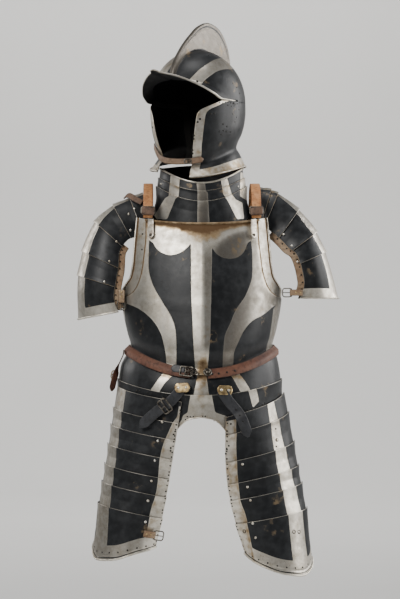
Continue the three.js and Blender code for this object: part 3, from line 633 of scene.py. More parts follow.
@dataclass
class Plate:
    """A plate of sheet steel: a grid over a surface, a wall behind it, rounded rims and rolled edges.

    The surface gives points for two grids: u runs across the plate and v down it. Stations say how far
    the plate stands off the surface at some rows. Hush adds to the distance from the edge where the edge
    shows neither wear nor painted edge highlight, and there paints the rim dark as shade; fade shrinks a
    roll along its edge. Dark_side says how much of a roll, from its inner side at -1 to its outer side at
    1, is painted dark as shade, like the plate's inside.
    """

    name: str
    surface: Callable[[Array, Array], Array]
    across: tuple[float, float]
    along: tuple[float, float]
    core: Point
    stations: tuple[tuple[float, float], ...] = ()
    rolls: tuple[str, ...] = ()
    roll_radius: float = ROLL_RADIUS
    pattern: Pattern = plain
    stain: Callable[[Field], Array] | None = None
    pitch: float = 4.0
    closed: bool = False
    extra_columns: tuple[float, ...] = ()
    wall: float = WALL
    hush: Callable[[Field], Array] | None = None
    fade: Callable[[Array], Array] | None = None
    dark_side: float = -0.3

    def _places(self, span: tuple[float, float], length: float, extra: Iterable[float] = ()) -> Array:
        """Returns the grid's places over a span, with close ones beside each end."""
        count = max(4, round(length / self.pitch))
        inset = EDGE_INSET / length * (span[1] - span[0])
        places = list(np.linspace(*span, count + 1)) + list(extra)
        places += [span[0] + inset, span[1] - inset]
        return np.unique(np.round(places, 7))

    def _lengths(self) -> tuple[float, float]:
        """Returns the plate's length across and along, in millimetres."""
        u = np.linspace(*self.across, 60)
        v = np.linspace(*self.along, 60)
        row = self.surface(u[None, :], np.full((1, 60), np.mean(self.along)))[0]
        column = self.surface(np.full((60, 1), np.mean(self.across)), v[:, None])[:, 0]
        return (
            float(np.linalg.norm(np.diff(row, axis=0), axis=1).sum()),
            float(np.linalg.norm(np.diff(column, axis=0), axis=1).sum()),
        )

    def skin(self) -> tuple[Skin, Field]:
        """Works out the outer grid.

        Returns:
            The skin, and what patterns may read at its points.
        """
        wide, tall = self._lengths()
        us = self._places(self.across, wide, self.extra_columns)
        if self.closed:
            us = np.linspace(*self.across, max(8, round(wide / self.pitch)) + 1)
        vs = self._places(self.along, tall, [v for v, _ in self.stations])
        u, v = np.meshgrid(us, vs)
        points = self.surface(u, v)
        over = np.gradient(points, axis=1)
        if self.closed:
            over[:, 0] = over[:, -1] = points[:, 1] - points[:, -2]
        facing = unit(np.cross(over, np.gradient(points, axis=0)))
        middle = (len(vs) // 2, len(us) // 2)
        if facing[middle] @ (points[middle] - np.array(self.core)) < 0:
            facing = -facing
        if self.stations:
            rows, offsets = zip(*self.stations)
            points = points + facing * np.interp(v, rows, offsets)[..., None]
        step_u = np.linalg.norm(np.diff(points, axis=1), axis=2)
        step_v = np.linalg.norm(np.diff(points, axis=0), axis=2)
        left = np.pad(np.cumsum(step_u, axis=1), ((0, 0), (1, 0)))
        top = np.pad(np.cumsum(step_v, axis=0), ((1, 0), (0, 0)))
        right, bottom = left[:, -1:] - left, top[-1:] - top
        field_ = Field(points, u, v, left, right, top, bottom, PHOTO.pixels(points))
        return Skin(points, facing, u, v), field_

    def _roll(
        self, line: Array, facing: Array, out: Array, size: Array, loop: bool,
    ) -> tuple[Array, list[list[int]]]:
        """Makes a rolled edge as a round bead.

        Args:
            line: The plate's edge.
            facing: The way that the plate faces there.
            out: The way that leads off the plate there.
            size: The bead's radius at each point.
            loop: Whether the edge closes on itself.

        Returns:
            Points and faces.
        """
        sides = ROLL_SIDES
        middle = line + facing * 0.5 - out * (size[:, None] - 0.4)
        turn = np.arange(sides) * 2 * math.pi / sides
        ring = np.cos(turn)[None, :, None] * out[:, None] + np.sin(turn)[None, :, None] * facing[:, None]
        points = (middle[:, None] + ring * size[:, None, None]).reshape(-1, 3)
        count = len(line)
        faces = []
        for i in range(count if loop else count - 1):
            for j in range(sides):
                a, b = i * sides, (i + 1) % count * sides
                faces.append([a + j, a + (j + 1) % sides, b + (j + 1) % sides, b + j])
        if not loop:
            faces.append(list(range(sides))[::-1])
            faces.append([(count - 1) * sides + j for j in range(sides)])
        return points, faces

    def build(self, finish: bpy.types.Material) -> tuple[bpy.types.Object, Skin]:
        """Makes the plate.

        Args:
            finish: Its steel.

        Returns:
            The piece and its skin.
        """
        skin, at = self.skin()
        bright = self.pattern(at)
        stain = self.stain(at) if self.stain else np.zeros_like(at.u)
        sides = [at.from_top, at.from_bottom] + ([] if self.closed else [at.from_left, at.from_right])
        hush = self.hush(at) if self.hush else np.zeros_like(at.u)
        edge, hidden_rim_shade = np.clip(np.min(sides, axis=0), 0, 20) + hush, np.minimum(hush, 1)
        if self.closed:
            skin_points, facing = skin.points[:, :-1], skin.facing[:, :-1]
            bright, stain, edge, hidden_rim_shade = (values[:, :-1] for values in (bright, stain, edge, hidden_rim_shade))
        else:
            skin_points, facing = skin.points, skin.facing
        m, n = edge.shape
        index = np.arange(m * n).reshape(m, n)
        inner = skin_points - facing * self.wall
        rim = self._rim(index)
        flow = self._outward(skin_points, rim)
        flat, flat_facing, flat_inner = (a.reshape(-1, 3) for a in (skin_points, facing, inner))
        swell = flow * RIM_SWELL * (1 if self.wall < 3 else 2)
        lip = flat[rim] * 0.75 + flat_inner[rim] * 0.25 + swell
        heel = flat[rim] * 0.25 + flat_inner[rim] * 0.75 + swell
        points = [flat, flat_inner, lip, heel]
        numbers = {
            "bright": [bright.ravel(), np.full(m * n, NEVER), bright.ravel()[rim], bright.ravel()[rim]],
            "edge": [edge.ravel(), edge.ravel() + 3, edge.ravel()[rim], edge.ravel()[rim] + 1],
            "stain": [stain.ravel(), np.zeros(m * n), stain.ravel()[rim], stain.ravel()[rim]],
            # Painted shade: the inner wall, the rims of hidden edges and the rims' inner corners are marked
            # inside, which the steel paints near-black.
            "inside": [
                np.zeros(m * n),
                np.ones(m * n),
                hidden_rim_shade.ravel()[rim],
                np.maximum(HEEL_PAINTED_SHADE, hidden_rim_shade.ravel()[rim]),
            ],
        }
        faces = self._faces(index, rim, m * n)
        start = 2 * m * n + 2 * len(rim)
        for line, loop in self._rolled_lines(index):
            out = self._off(skin_points, index, line)
            size = np.full(len(line), self.roll_radius)
            if self.fade:
                size *= self.fade(skin.u.ravel()[line])
            made, made_faces = self._roll(flat[line], flat_facing[line], out, size, loop)
            points.append(made)
            faces += [[start + k for k in face] for face in made_faces]
            numbers["bright"].append(np.full(len(made), ALWAYS))
            numbers["edge"].append(np.full(len(made), 6.0))
            numbers["stain"].append(np.repeat(stain.ravel()[line] * 0.4, ROLL_SIDES))
            # Painted shade: the inner side of each roll, up to dark_side, is marked inside and painted
            # near-black.
            inward = np.sin(np.arange(ROLL_SIDES) * 2 * math.pi / ROLL_SIDES) < self.dark_side
            numbers["inside"].append(np.tile(inward.astype(float), len(line)))
            start += len(made)
        merged = {key: np.concatenate(parts) for key, parts in numbers.items()}
        piece = mesh_piece(self.name + "_plate", np.concatenate(points), faces, finish, merged)
        face_outwards(piece, flat[index[m // 2, n // 2]], flat_facing[index[m // 2, n // 2]])
        return piece, skin

    def _rim(self, index: Array) -> Array:
        """Returns the points round the grid's boundary: a loop, or the two loops of a closed plate."""
        if self.closed:
            return np.concatenate([index[0], index[-1]])
        return np.concatenate([index[0, :-1], index[:-1, -1], index[-1, :0:-1], index[:0:-1, 0]])

    def _outward(self, points: Array, rim: Array) -> Array:
        """Returns the way that leads off the plate at each point of the rim."""
        m, n = points.shape[:2]
        out = np.zeros_like(points)
        out[0] += unit(points[0] - points[1])
        out[-1] += unit(points[-1] - points[-2])
        if not self.closed:
            out[:, 0] += unit(points[:, 0] - points[:, 1])
            out[:, -1] += unit(points[:, -1] - points[:, -2])
        return unit(out.reshape(-1, 3)[rim])

    def _faces(self, index: Array, rim: Array, count: int) -> list[list[int]]:
        """Returns the faces of the outer and inner grids and of the rim between them."""
        grid = np.hstack([index, index[:, :1]]) if self.closed else index
        a, b, c, d = grid[:-1, :-1], grid[:-1, 1:], grid[1:, 1:], grid[1:, :-1]
        quads = np.stack([a, b, c, d], axis=-1).reshape(-1, 4)
        faces = quads.tolist() + (quads[:, ::-1] + count).tolist()
        halves = [len(index[0])] * 2 if self.closed else [len(rim)]
        begin = 0
        for i, half in enumerate(halves):
            for k in range(half):
                j, q = begin + k, begin + (k + 1) % half
                chain = [rim[j], 2 * count + j, 2 * count + len(rim) + j, count + rim[j]]
                ahead = [rim[q], 2 * count + q, 2 * count + len(rim) + q, count + rim[q]]
                for s in range(3):
                    face = [int(chain[s]), int(chain[s + 1]), int(ahead[s + 1]), int(ahead[s])]
                    faces.append(face if i == 0 else face[::-1])
            begin += half
        return faces

    def _rolled_lines(self, index: Array) -> list[tuple[Array, bool]]:
        """Returns the grid's edges that are rolled, and whether each closes on itself."""
        lines = {"top": index[0], "bottom": index[-1], "right": index[:, -1]}
        return [(lines[name], self.closed) for name in self.rolls]

    @staticmethod
    def _off(points: Array, index: Array, line: Array) -> Array:
        """Returns the way off the plate along one whole edge."""
        if np.array_equal(line, index[0]):
            return unit(points[0] - points[1])
        if np.array_equal(line, index[-1]):
            return unit(points[-1] - points[-2])
        return unit(points[:, -1] - points[:, -2])


def face_outwards(piece: bpy.types.Object, place: Array, facing: Array) -> None:
    """Turns a plate's faces round if the one at a place looks the other way.

    Args:
        piece: The plate.
        place: A point of its outside, in millimetres.
        facing: The way that the outside looks there.
    """
    mesh = piece.data
    centres = np.zeros(len(mesh.polygons) * 3)
    mesh.polygons.foreach_get("center", centres)
    nearest = int(np.argmin(np.linalg.norm(centres.reshape(-1, 3) - place * MM, axis=1)))
    if np.array(mesh.polygons[nearest].normal) @ facing < 0:
        mesh.flip_normals()


def tube(line: Array, radius: float, sides: int = 8, closed: bool = True) -> tuple[Array, list[list[int]]]:
    """Makes a round wire along a line.

    Args:
        line: Points in millimetres.
        radius: The wire's radius.
        sides: Faces round it.
        closed: Whether the line closes on itself.

    Returns:
        Points and faces.
    """
    ahead = np.roll(line, -1, axis=0) - np.roll(line, 1, axis=0) if closed else np.gradient(line, axis=0)
    ahead = unit(ahead)
    spread = line - line.mean(axis=0)
    _, _, axes = np.linalg.svd(spread, full_matrices=False)
    flat = unit(axes[2])
    side = unit(np.cross(ahead, flat))
    over = np.cross(side, ahead)
    turn = np.arange(sides) * 2 * math.pi / sides
    ring = np.cos(turn)[None, :, None] * side[:, None] + np.sin(turn)[None, :, None] * over[:, None]
    points = (line[:, None] + ring * radius).reshape(-1, 3)
    count = len(line)
    faces = []
    for i in range(count if closed else count - 1):
        a, b = i * sides, (i + 1) % count * sides
        faces += [[a + j, b + j, b + (j + 1) % sides, a + (j + 1) % sides] for j in range(sides)]
    if not closed:
        faces += [list(range(sides)), [(count - 1) * sides + j for j in range(sides)][::-1]]
    return points, faces


def spline(points: Sequence[Point] | Array, count: int) -> Array:
    """Returns a smooth line through points, at evenly spread places."""
    p = np.array(points, float)
    padded = np.vstack([2 * p[0] - p[1], p, 2 * p[-1] - p[-2]])
    t = (np.arange(12) / 12)[:, None]
    curve = []
    for a, b, c, d in zip(padded, padded[1:], padded[2:], padded[3:]):
        bend = (2 * a - 5 * b + 4 * c - d) * t**2 + (3 * b - a - 3 * c + d) * t**3
        curve.append(b + 0.5 * ((c - a) * t + bend))
    dense = np.vstack([*curve, p[-1:]])
    reach = np.concatenate([[0], np.cumsum(np.linalg.norm(np.diff(dense, axis=0), axis=1))])
    at = np.linspace(0, reach[-1], count)
    return np.stack([np.interp(at, reach, dense[:, k]) for k in range(3)], axis=1)


@dataclass
class Strap:
    """A leather strap along a line, with round edges and ends that may taper."""

    name: str
    line: Array
    side: Array
    width: float
    thick: float = 2.6
    start_taper: float = 0.0
    end_taper: float = 0.0
    end_width: float = 1.0

    def build(self, finish: bpy.types.Material) -> bpy.types.Object:
        """Returns the strap as a piece.

        Args:
            finish: Its leather.
        """
        line = self.line
        ahead = unit(np.gradient(line, axis=0))
        given = np.broadcast_to(self.side, line.shape)
        out = unit(np.cross(ahead, given))
        over = np.cross(out, ahead)
        reach = np.concatenate([[0], np.cumsum(np.linalg.norm(np.diff(line, axis=0), axis=1))])
        half = np.full(len(line), self.width / 2)
        if self.start_taper:
            half *= mix(0.25, 1, np.sin(np.clip(reach / self.start_taper, 0, 1) * math.pi / 2))
        if self.end_taper:
            left = reach[-1] - reach
            rounding = np.sin(np.clip(left / self.end_taper, 0, 1) * math.pi / 2)
            half *= mix(1 - 0.8 * self.end_width, 1, rounding)
        across = np.array([-1, -0.97, -0.86, -0.4, 0, 0.4, 0.86, 0.97, 1])
        lift = np.array([0, 0.6, 0.95, 1, 1, 1, 0.95, 0.6, 0])
        section = list(zip(across, lift))
        section += [(a, -b) for a, b in zip(across[-2:0:-1], lift[-2:0:-1])]
        points, edge = [], []
        for a, b in section:
            points.append(line + over * (a * half)[:, None] + out * (b * self.thick / 2))
            edge.append(half * (1 - abs(a)))
        rings = np.stack(points, axis=1)
        n = len(section)
        faces = []
        for i in range(len(line) - 1):
            for j in range(n):
                after = (j + 1) % n
                faces.append([i * n + j, i * n + after, (i + 1) * n + after, (i + 1) * n + j])
        faces += [list(range(n))[::-1], [(len(line) - 1) * n + j for j in range(n)]]
        numbers = {"edge": np.stack(edge, axis=1).ravel()}
        piece = mesh_piece(self.name, rings.reshape(-1, 3), faces, finish, numbers)
        middle = len(line) // 2
        face_outwards(piece, rings[middle, 4], out[middle])
        return piece


@dataclass
class Seat:
    """A place on a plate or strap where a fitting sits."""

    place: Array
    facing: Array
    along: Array
    size: float = 1.0


class Outside:
    """Every skin of the armour, so that fittings can be seated on what carries them."""

    def __init__(self) -> None:
        """Starts with no skins."""
        self.names: list[str] = []
        self.points: list[Array] = []
        self.facing: list[Array] = []

    def add(self, name: str, points: Array, facing: Array) -> None:
        """Adds the points of a skin and the way that each faces."""
        self.names.append(name)
        self.points.append(points.reshape(-1, 3))
        self.facing.append(facing.reshape(-1, 3))

    def seen_at(self, pixel: Pixel, only: str = "", size: float = 1.0) -> Seat:
        """Finds the place that the photograph shows at a pixel.

        Args:
            pixel: The pixel.
            only: The start of the names of the skins that may carry it.
            size: The fitting's size.

        Returns:
            The seat there.
        """
        eye, way = PHOTO.ray(pixel)
        best = None
        for name, points, facing in zip(self.names, self.points, self.facing):
            if not name.startswith(only):
                continue
            away = np.linalg.norm(PHOTO.pixels(points) - np.array(pixel), axis=1)
            away = away + np.where((facing @ way) > -0.05, 50, 0)
            i = int(np.argmin(away))
            depth = (points[i] - eye) @ way
            rank = (max(0.0, away[i] - 2.5) * 40) + depth
            if best is None or rank < best[0]:
                best = (rank, points[i], facing[i])
        _, point, face = best
        share = ((point - eye) @ face) / (way @ face)
        place = eye + way * share
        if np.linalg.norm(place - point) > 9:
            place = point
        return Seat(place, face, unit(np.cross(face, np.array([0, 0, 1.0]))), size)


class Fitting(Enum):
    """The small things that Geometry Nodes repeat."""

    RIVET = "rivet"
    HOLE = "hole"
    WASHER = "washer"


@dataclass(frozen=True)
class Repeat:
    """A Geometry Nodes tree that puts one small form on each point, turned to its seat."""

    kind: Fitting
    radius: float
    height: float

    def _form(self, nodes: Nodes, group: bpy.types.Node) -> bpy.types.NodeSocket:
        """Returns the form that is repeated: a dome, a disc or a ring."""
        radius, height = group.outputs["Radius"], group.outputs["Height"]
        if self.kind is Fitting.RIVET:
            unit_ball = {"Segments": FORM_SEGMENTS, "Rings": 7, "Radius": 1.0}
            ball = nodes.add("GeometryNodeMeshUVSphere", {}, unit_ball)
            size = nodes.add("ShaderNodeCombineXYZ", {}, {"X": radius, "Y": radius, "Z": height}).outputs[0]
            flattened = {"Geometry": ball.outputs["Mesh"], "Scale": size}
            return nodes.add("GeometryNodeTransform", {}, flattened).outputs[0]
        if self.kind is Fitting.HOLE:
            disc = nodes.add(
                "GeometryNodeMeshCylinder", {}, {"Vertices": FORM_SEGMENTS, "Radius": radius, "Depth": height}
            )
            return disc.outputs["Mesh"]
        ring = nodes.add("GeometryNodeCurvePrimitiveCircle", {}, {"Resolution": 18, "Radius": radius})
        wire = nodes.add("GeometryNodeCurvePrimitiveCircle", {}, {"Resolution": 8, "Radius": height})
        curves = {"Curve": ring.outputs[0], "Profile Curve": wire.outputs[0]}
        return nodes.add("GeometryNodeCurveToMesh", {}, curves).outputs[0]

    def tree(self, finish: bpy.types.Material) -> bpy.types.NodeTree:
        """Builds the node tree.

        Args:
            finish: The material that it sets.

        Returns:
            The tree, with the named inputs Radius, Height and Seed.
        """
        made = bpy.data.node_groups.new("repeat_" + self.kind.value, "GeometryNodeTree")
        face = made.interface
        face.new_socket("Geometry", in_out="INPUT", socket_type="NodeSocketGeometry")
        face.new_socket("Radius", in_out="INPUT", socket_type="NodeSocketFloat")
        face.new_socket("Height", in_out="INPUT", socket_type="NodeSocketFloat")
        face.new_socket("Seed", in_out="INPUT", socket_type="NodeSocketInt")
        face.new_socket("Geometry", in_out="OUTPUT", socket_type="NodeSocketGeometry")
        nodes = Nodes(made)
        group = nodes.add("NodeGroupInput")
        read = {
            name: nodes.add("GeometryNodeInputNamedAttribute", {"data_type": kind}, {"Name": name}).outputs[0]
            for name, kind in (("facing", "FLOAT_VECTOR"), ("along", "FLOAT_VECTOR"), ("size", "FLOAT"))
        }
        up = nodes.add("FunctionNodeAlignRotationToVector", {"axis": "Z"}, {"Vector": read["facing"]})
        turned = nodes.add(
            "FunctionNodeAlignRotationToVector",
            {"axis": "X", "pivot_axis": "Z"},
            {"Rotation": up.outputs[0], "Vector": read["along"]},
        )
        spread = {2: 0.93, 3: 1.07, "Seed": group.outputs["Seed"]}
        random = nodes.add("FunctionNodeRandomValue", {"data_type": "FLOAT"}, spread)
        size = nodes.add("ShaderNodeMath", {"operation": "MULTIPLY"}, {0: read["size"], 1: random.outputs[1]})
        placed = nodes.add(
            "GeometryNodeInstanceOnPoints",
            {},
            {
                "Points": group.outputs["Geometry"],
                "Instance": self._form(nodes, group),
                "Rotation": turned.outputs[0],
                "Scale": size.outputs[0],
            },
        )
        real = nodes.add("GeometryNodeRealizeInstances", {}, {"Geometry": placed.outputs[0]})
        smooth = nodes.add("GeometryNodeSetShadeSmooth", {}, {"Geometry": real.outputs[0]})
        dressing = {"Geometry": smooth.outputs[0], "Material": finish}
        dressed = nodes.add("GeometryNodeSetMaterial", {}, dressing)
        nodes.add("NodeGroupOutput", {}, {0: dressed.outputs[0]})
        return made

    def build(self, name: str, seats: Sequence[Seat], finish: bpy.types.Material) -> bpy.types.Object:
        """Makes every copy as one plain mesh.

        Args:
            name: The piece's name.
            seats: Where the copies sit.
            finish: Their material.

        Returns:
            The piece.
        """
        mesh = bpy.data.meshes.new(name + "_seats")
        mesh.from_pydata([tuple(seat.place * MM) for seat in seats], [], [])
        for key, values in (("facing", [s.facing for s in seats]), ("along", [s.along for s in seats])):
            attribute = mesh.attributes.new(key, "FLOAT_VECTOR", "POINT")
            attribute.data.foreach_set("vector", np.array(values, np.float32).ravel())
        attribute = mesh.attributes.new("size", "FLOAT", "POINT")
        attribute.data.foreach_set("value", np.array([s.size for s in seats], np.float32))
        holder = bpy.data.objects.new(name + "_seats", mesh)
        bpy.context.scene.collection.objects.link(holder)
        modifier = holder.modifiers.new("repeat", "NODES")
        modifier.node_group = self.tree(finish)
        values = {"Radius": self.radius * MM, "Height": self.height * MM, "Seed": SEED}
        for item in modifier.node_group.interface.items_tree:
            if item.name in values and item.in_out == "INPUT":
                modifier[item.identifier] = values[item.name]
        bpy.context.view_layer.update()
        graph = bpy.context.evaluated_depsgraph_get()
        plain_mesh = bpy.data.meshes.new_from_object(holder.evaluated_get(graph))
        plain_mesh.name = name
        made = bpy.data.objects.new(name, plain_mesh)
        bpy.context.scene.collection.objects.link(made)
        bpy.data.objects.remove(holder)
        return made


RIVET = Repeat(Fitting.RIVET, 2.5, 1.5)
# Holes are dark discs of painted shade on the plates.
HOLE = Repeat(Fitting.HOLE, 2.1, 0.9)
WASHER = Repeat(Fitting.WASHER, 3.6, 1.0)


@dataclass
class Buckle:
    """A wire buckle: a frame with round corners, its bar and its pin."""

    name: str
    place: Array
    along: Array
    out: Array
    width: float
    height: float
    wire: float
    bar_at: float = 0.0
    pin: bool = True
    corner: float = 3.5

    def build(self, finish: bpy.types.Material) -> bpy.types.Object:
        """Returns the buckle as a piece.

        Args:
            finish: Its metal.
        """
        side = unit(np.cross(self.along, self.out))
        w, h = self.width / 2 - self.wire, self.height / 2 - self.wire
        r = min(self.corner, w, h)
        turn = np.radians(np.arange(0, 91, 18))
        corners = [(w - r, h - r, 0), (r - w, h - r, 90), (r - w, r - h, 180), (w - r, r - h, 270)]
        outline = np.concatenate([
            np.stack([x + r * np.cos(turn + math.radians(a)), y + r * np.sin(turn + math.radians(a))], axis=1)
            for x, y, a in corners
        ])
        line = self.place + outline[:, :1] * self.along + outline[:, 1:] * side
        parts = [tube(line, self.wire)]
        bar = np.linspace(-h, h, 4)[:, None] * side + self.place + self.along * self.bar_at * w
        parts.append(tube(bar + self.out * 0.05 * np.arange(4)[:, None], self.wire * 0.9, closed=False))
        if self.pin:
            reach = np.linspace(self.bar_at * w, w, 6)[:, None]
            arch = np.sin(np.linspace(0.15, 1, 6) * math.pi)[:, None] * 0.8 + self.wire
            pin = self.place + self.along * reach + self.out * arch
            parts.append(tube(pin, self.wire * 0.75, closed=False))
        points, faces, start = [], [], 0
        for made, made_faces in parts:
            points.append(made)
            faces += [[start + k for k in face] for face in made_faces]
            start += len(made)
        return mesh_piece(self.name, np.concatenate(points), faces, finish)


@dataclass
class Assembly:
    """What every sub-assembly shares: its pieces, their finishes and how they join the frame."""

    palette: Palette
    outside: Outside
    pieces: list[bpy.types.Object] = field(default_factory=list)

    def keep(self, piece: bpy.types.Object, body: Body, slot: Slot, *nodes: str) -> bpy.types.Object:
        """Joins a piece to the frame.

        Args:
            piece: The piece.
            body: The body that it rides on.
            slot: Not used.
            nodes: The CAD nodes that it stands for.

        Returns:
            The piece.
        """
        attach(piece, body.value)
        if nodes:
            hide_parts(*nodes)
        self.pieces.append(piece)
        return piece

    def plate(self, plate: Plate, finish: bpy.types.Material | None = None, slot: Slot = Slot.PLATE) -> Skin:
        """Builds a plate in place of its CAD node and returns its skin."""
        piece, skin = plate.build(finish or self.palette.steel)
        self.keep(piece, Body.ARMOUR, slot, plate.name)
        self.outside.add(plate.name, *skin.flat())
        return skin

    def strap(self, strap: Strap, finish: bpy.types.Material, slot: Slot, *nodes: str) -> bpy.types.Object:
        """Builds a strap in place of its CAD node."""
        return self.keep(strap.build(finish), Body.ARMOUR, slot, *nodes)

    def fittings(
        self,
        name: str,
        repeat: Repeat,
        seats: Sequence[Seat],
        finish: bpy.types.Material,
        slot: Slot = Slot.PLATE,
    ) -> None:
        """Builds small repeated things on their seats."""
        if seats:
            self.keep(repeat.build(name, seats, finish), Body.ARMOUR, slot)

    def report(self, log: logging.Logger) -> None:
        """Logs each piece with its faces."""
        for piece in self.pieces:
            log.info("%s %s faces", piece.name, len(piece.data.polygons))


# Hush for hidden edges: no wear or painted edge highlight there, and their rims painted dark as shade.
QUIET = 9.0
NEST = 2.15
FLARE = 3.6
OVERLAP = 9.0
TUCK = 3.1


@dataclass
class Helmet(Assembly):
    """The combed skull with its peak, the two cheekpieces, the nape and the chin strap."""

    place: Point = (-10, 6, 224)
    turn: float = -33
    centre_y: float = 5
    half_width: float = 100
    half_length: float = 116
    crown: float = 117
    brow: float = 22
    comb_root: float = 8
    comb_edge: float = 3.2
    comb_bead: float = 1.4
    comb_least: float = 3
    pole: float = 1.5
    comb_share: float = 0.16
    cheek_rear: float = 128
    nape_from: float = 129.6
    nape_tuck: float = 3.5
    nape_lap: float = 7
    comb: Table = Table(
        ("turn", "reach"),
        (
            (22, 120), (30, 125), (47, 130), (60, 136), (77, 151), (91, 172), (103, 187),
            (115, 191), (125, 186), (136, 174), (145, 160), (160, 137), (180, 120),
        ),
        "turn",
    )
    peak: Table = Table(
        ("angle", "x", "y", "z"),
        (
            (0, 100, 1, 0.2), (22, 95, -48, 0), (38, 91, -74, 10), (56, 72, -108, 28),
            (74, 36, -146, 46), (90, 0, -176, 55),
        ),
        "angle",
    )
    sides: Table = Table(
        ("front", "rear", "half", "length", "edge"),
        (
            (-0.6, -0.6, 100, 116, 67), (-12, -9, 100, 117, 53), (-30, -22, 99.5, 118, 36.5),
            (-66, -46, 97, 114, 32.5), (-100, -68, 91, 107, 30), (-126, -86, 83, 98, 28.5),
            (-140, -97, 80, 96, 27.8), (-152, -110, 86, 106, 27.4), (-170, -139.4, 99, 121, 27),
        ),
    )
    chin: Table = Table(
        ("turn", "z", "half", "length"),
        (
            (-62, -92, 92.5, 109), (-47, -105, 88.5, 104), (-30, -122, 85.5, 102), (-10, -131, 85, 104),
            (10, -134, 85, 104), (28, -133, 85, 102), (46, -128, 85.3, 100.9),
        ),
        "turn",
    )
    joint: tuple[float, float] = (125, 133)
    joint_inset: float = 2.2
    ring_edge: float = 68.5
    far_corner: float = 7
    # Grey of the comb: partly patina, partly painted shade.
    comb_patina_and_shade: float = -0.95
    band: tuple[Pixel, ...] = (
        *through(
            (233, 62.5), (226, 59), (219.5, 58.3), (211.5, 61.4), (199.5, 69.5), (189.4, 79.9),
            (184, 86),
        ),
        *through((194, 92), (198.8, 86.6), (206.2, 78.8), (215.5, 72.1), (223.6, 69.5), (233, 69.2)),
    )
    far_band: tuple[Pixel, ...] = (
        (158, 74), (162, 66), (169, 57.5), (176, 52.5), (174, 60), (170, 68), (163, 78),
    )

    def world(self, points: Array) -> Array:
        """Returns points of the helmet's own frame in the armour's frame."""
        c, s = math.cos(math.radians(self.turn)), math.sin(math.radians(self.turn))
        x, y, z = points[..., 0], points[..., 1], points[..., 2]
        turned = stack(x * c - y * s, x * s + y * c, z)
        return turned + np.array(self.place)

    def local(self, points: Array) -> Array:
        """Returns points of the armour's frame in the helmet's own frame."""
        c, s = math.cos(math.radians(self.turn)), math.sin(math.radians(self.turn))
        moved = points - np.array(self.place)
        x, y, z = moved[..., 0], moved[..., 1], moved[..., 2]
        return stack(x * c + y * s, -x * s + y * c, z)

    def skull(self, across: Array, sweep: Array) -> Array:
        """Works out the skull.

        Args:
            across: From the right ear, -1, over the comb, 0, to the left ear, 1.
            sweep: From the peak's edge, -1, to the brow, 0, and over the crown to the nape, 1.

        Returns:
            Points in the armour's frame.
        """
        share = np.abs(across)
        side = np.where(across < 0, -1, 1)
        rise_angle = np.radians(mix(self.brow, 180, np.maximum(0, sweep)))
        dy, dz = -np.cos(rise_angle), np.sin(rise_angle)
        dome = 1 / np.hypot(dy / self.half_length, dz / self.crown)
        comb = np.maximum(self.comb_least, self.comb.read("reach", np.degrees(rise_angle)) - dome)
        root = math.acos(self.comb_root / self.half_width)
        on_dome = share >= self.comb_share
        t = mix(math.radians(self.pole), root, np.clip((1 - share) / (1 - self.comb_share), 0, 1))
        rise = np.clip(1 - share / self.comb_share, 0, 1)
        bead = np.minimum(self.comb_bead, 0.12 * comb) * smoothstep(rise, 0.6, 0.8)
        blade = mix(self.comb_root, self.comb_edge, np.minimum(1, rise / 0.6) ** 0.7)
        comb_x = (blade + bead) * (1 - smoothstep(rise, 0.82, 1))
        x = np.where(on_dome, self.half_width * np.cos(t), comb_x)
        over = dome * math.sin(root) + comb * np.minimum(1, rise / 0.86)
        radius = np.where(on_dome, dome * np.sin(t), over)
        brow = stack(side * x, self.centre_y + radius * dy, radius * dz)
        angle = np.where(on_dome, np.degrees(t), 90)
        edge = stack(
            side * np.where(on_dome, self.peak.read("x", angle), x),
            self.peak.read("y", angle),
            self.peak.read("z", angle) + 2 * rise,
        )
        return self.world(mix(brow, edge, np.maximum(0, -sweep)[..., None]))

    def side_at(self, depth: Array, degrees: Array, inset: Array | float = 0) -> Array:
        """Works out the cheeks and the nape below the ears.

        Args:
            depth: From the ear line, 0, to the lower edge, 1.
            degrees: Round from the front.
            inset: How far inside the surface.

        Returns:
            Points in the armour's frame.
        """
        half = self.sides.read("half", depth) - inset
        length = self.sides.read("length", depth) - inset
        s, c = np.sin(np.radians(degrees)), np.cos(np.radians(degrees))
        turned = smoothstep(np.abs(np.where(degrees > 180, degrees - 360, degrees)), 28, 125)
        z = mix(self.sides.read("front", depth), self.sides.read("rear", depth), turned)
        lean = np.clip(2.1 * s, -1, 1)
        return self.world(stack(half * s, self.centre_y - length * c, z * (0.95 + 0.05 * lean)))

    def cheek(self, side: int) -> Callable[[Array, Array], Array]:
        """Returns the surface of one cheekpiece."""
        def surface(u: Array, v: Array) -> Array:
            """Returns points of the cheekpiece, whose lower corner reaches further forward on the right."""
            edge = self.sides.read("edge", v) - (self.far_corner if side < 0 else 0) * smoothstep(v, 0.86, 1)
            return self.side_at(v, side * mix(edge, self.cheek_rear, u))
        return surface

    def nape(self, u: Array, v: Array) -> Array:
        """Returns points of the nape, whose top runs up inside the skull where v is negative."""
        degrees = mix(self.nape_from, 360 - self.nape_from, u)
        points = self.side_at(np.maximum(v, 0), degrees, self.nape_tuck * np.clip(1 - 6 * v, 0, 1))
        points[..., 2] += self.nape_lap * np.maximum(0, -v)
        return points

    def ear_ring(self, u: Array, v: Array) -> Array:
        """Returns points of the ring inside the ear line, which closes the seam between skull and cheeks."""
        degrees = mix(self.ring_edge, 360 - self.ring_edge, u)
        points = self.side_at(np.maximum(v, 0), degrees, self.joint_inset)
        points[..., 2] += self.nape_lap * np.maximum(0, -v)
        return points

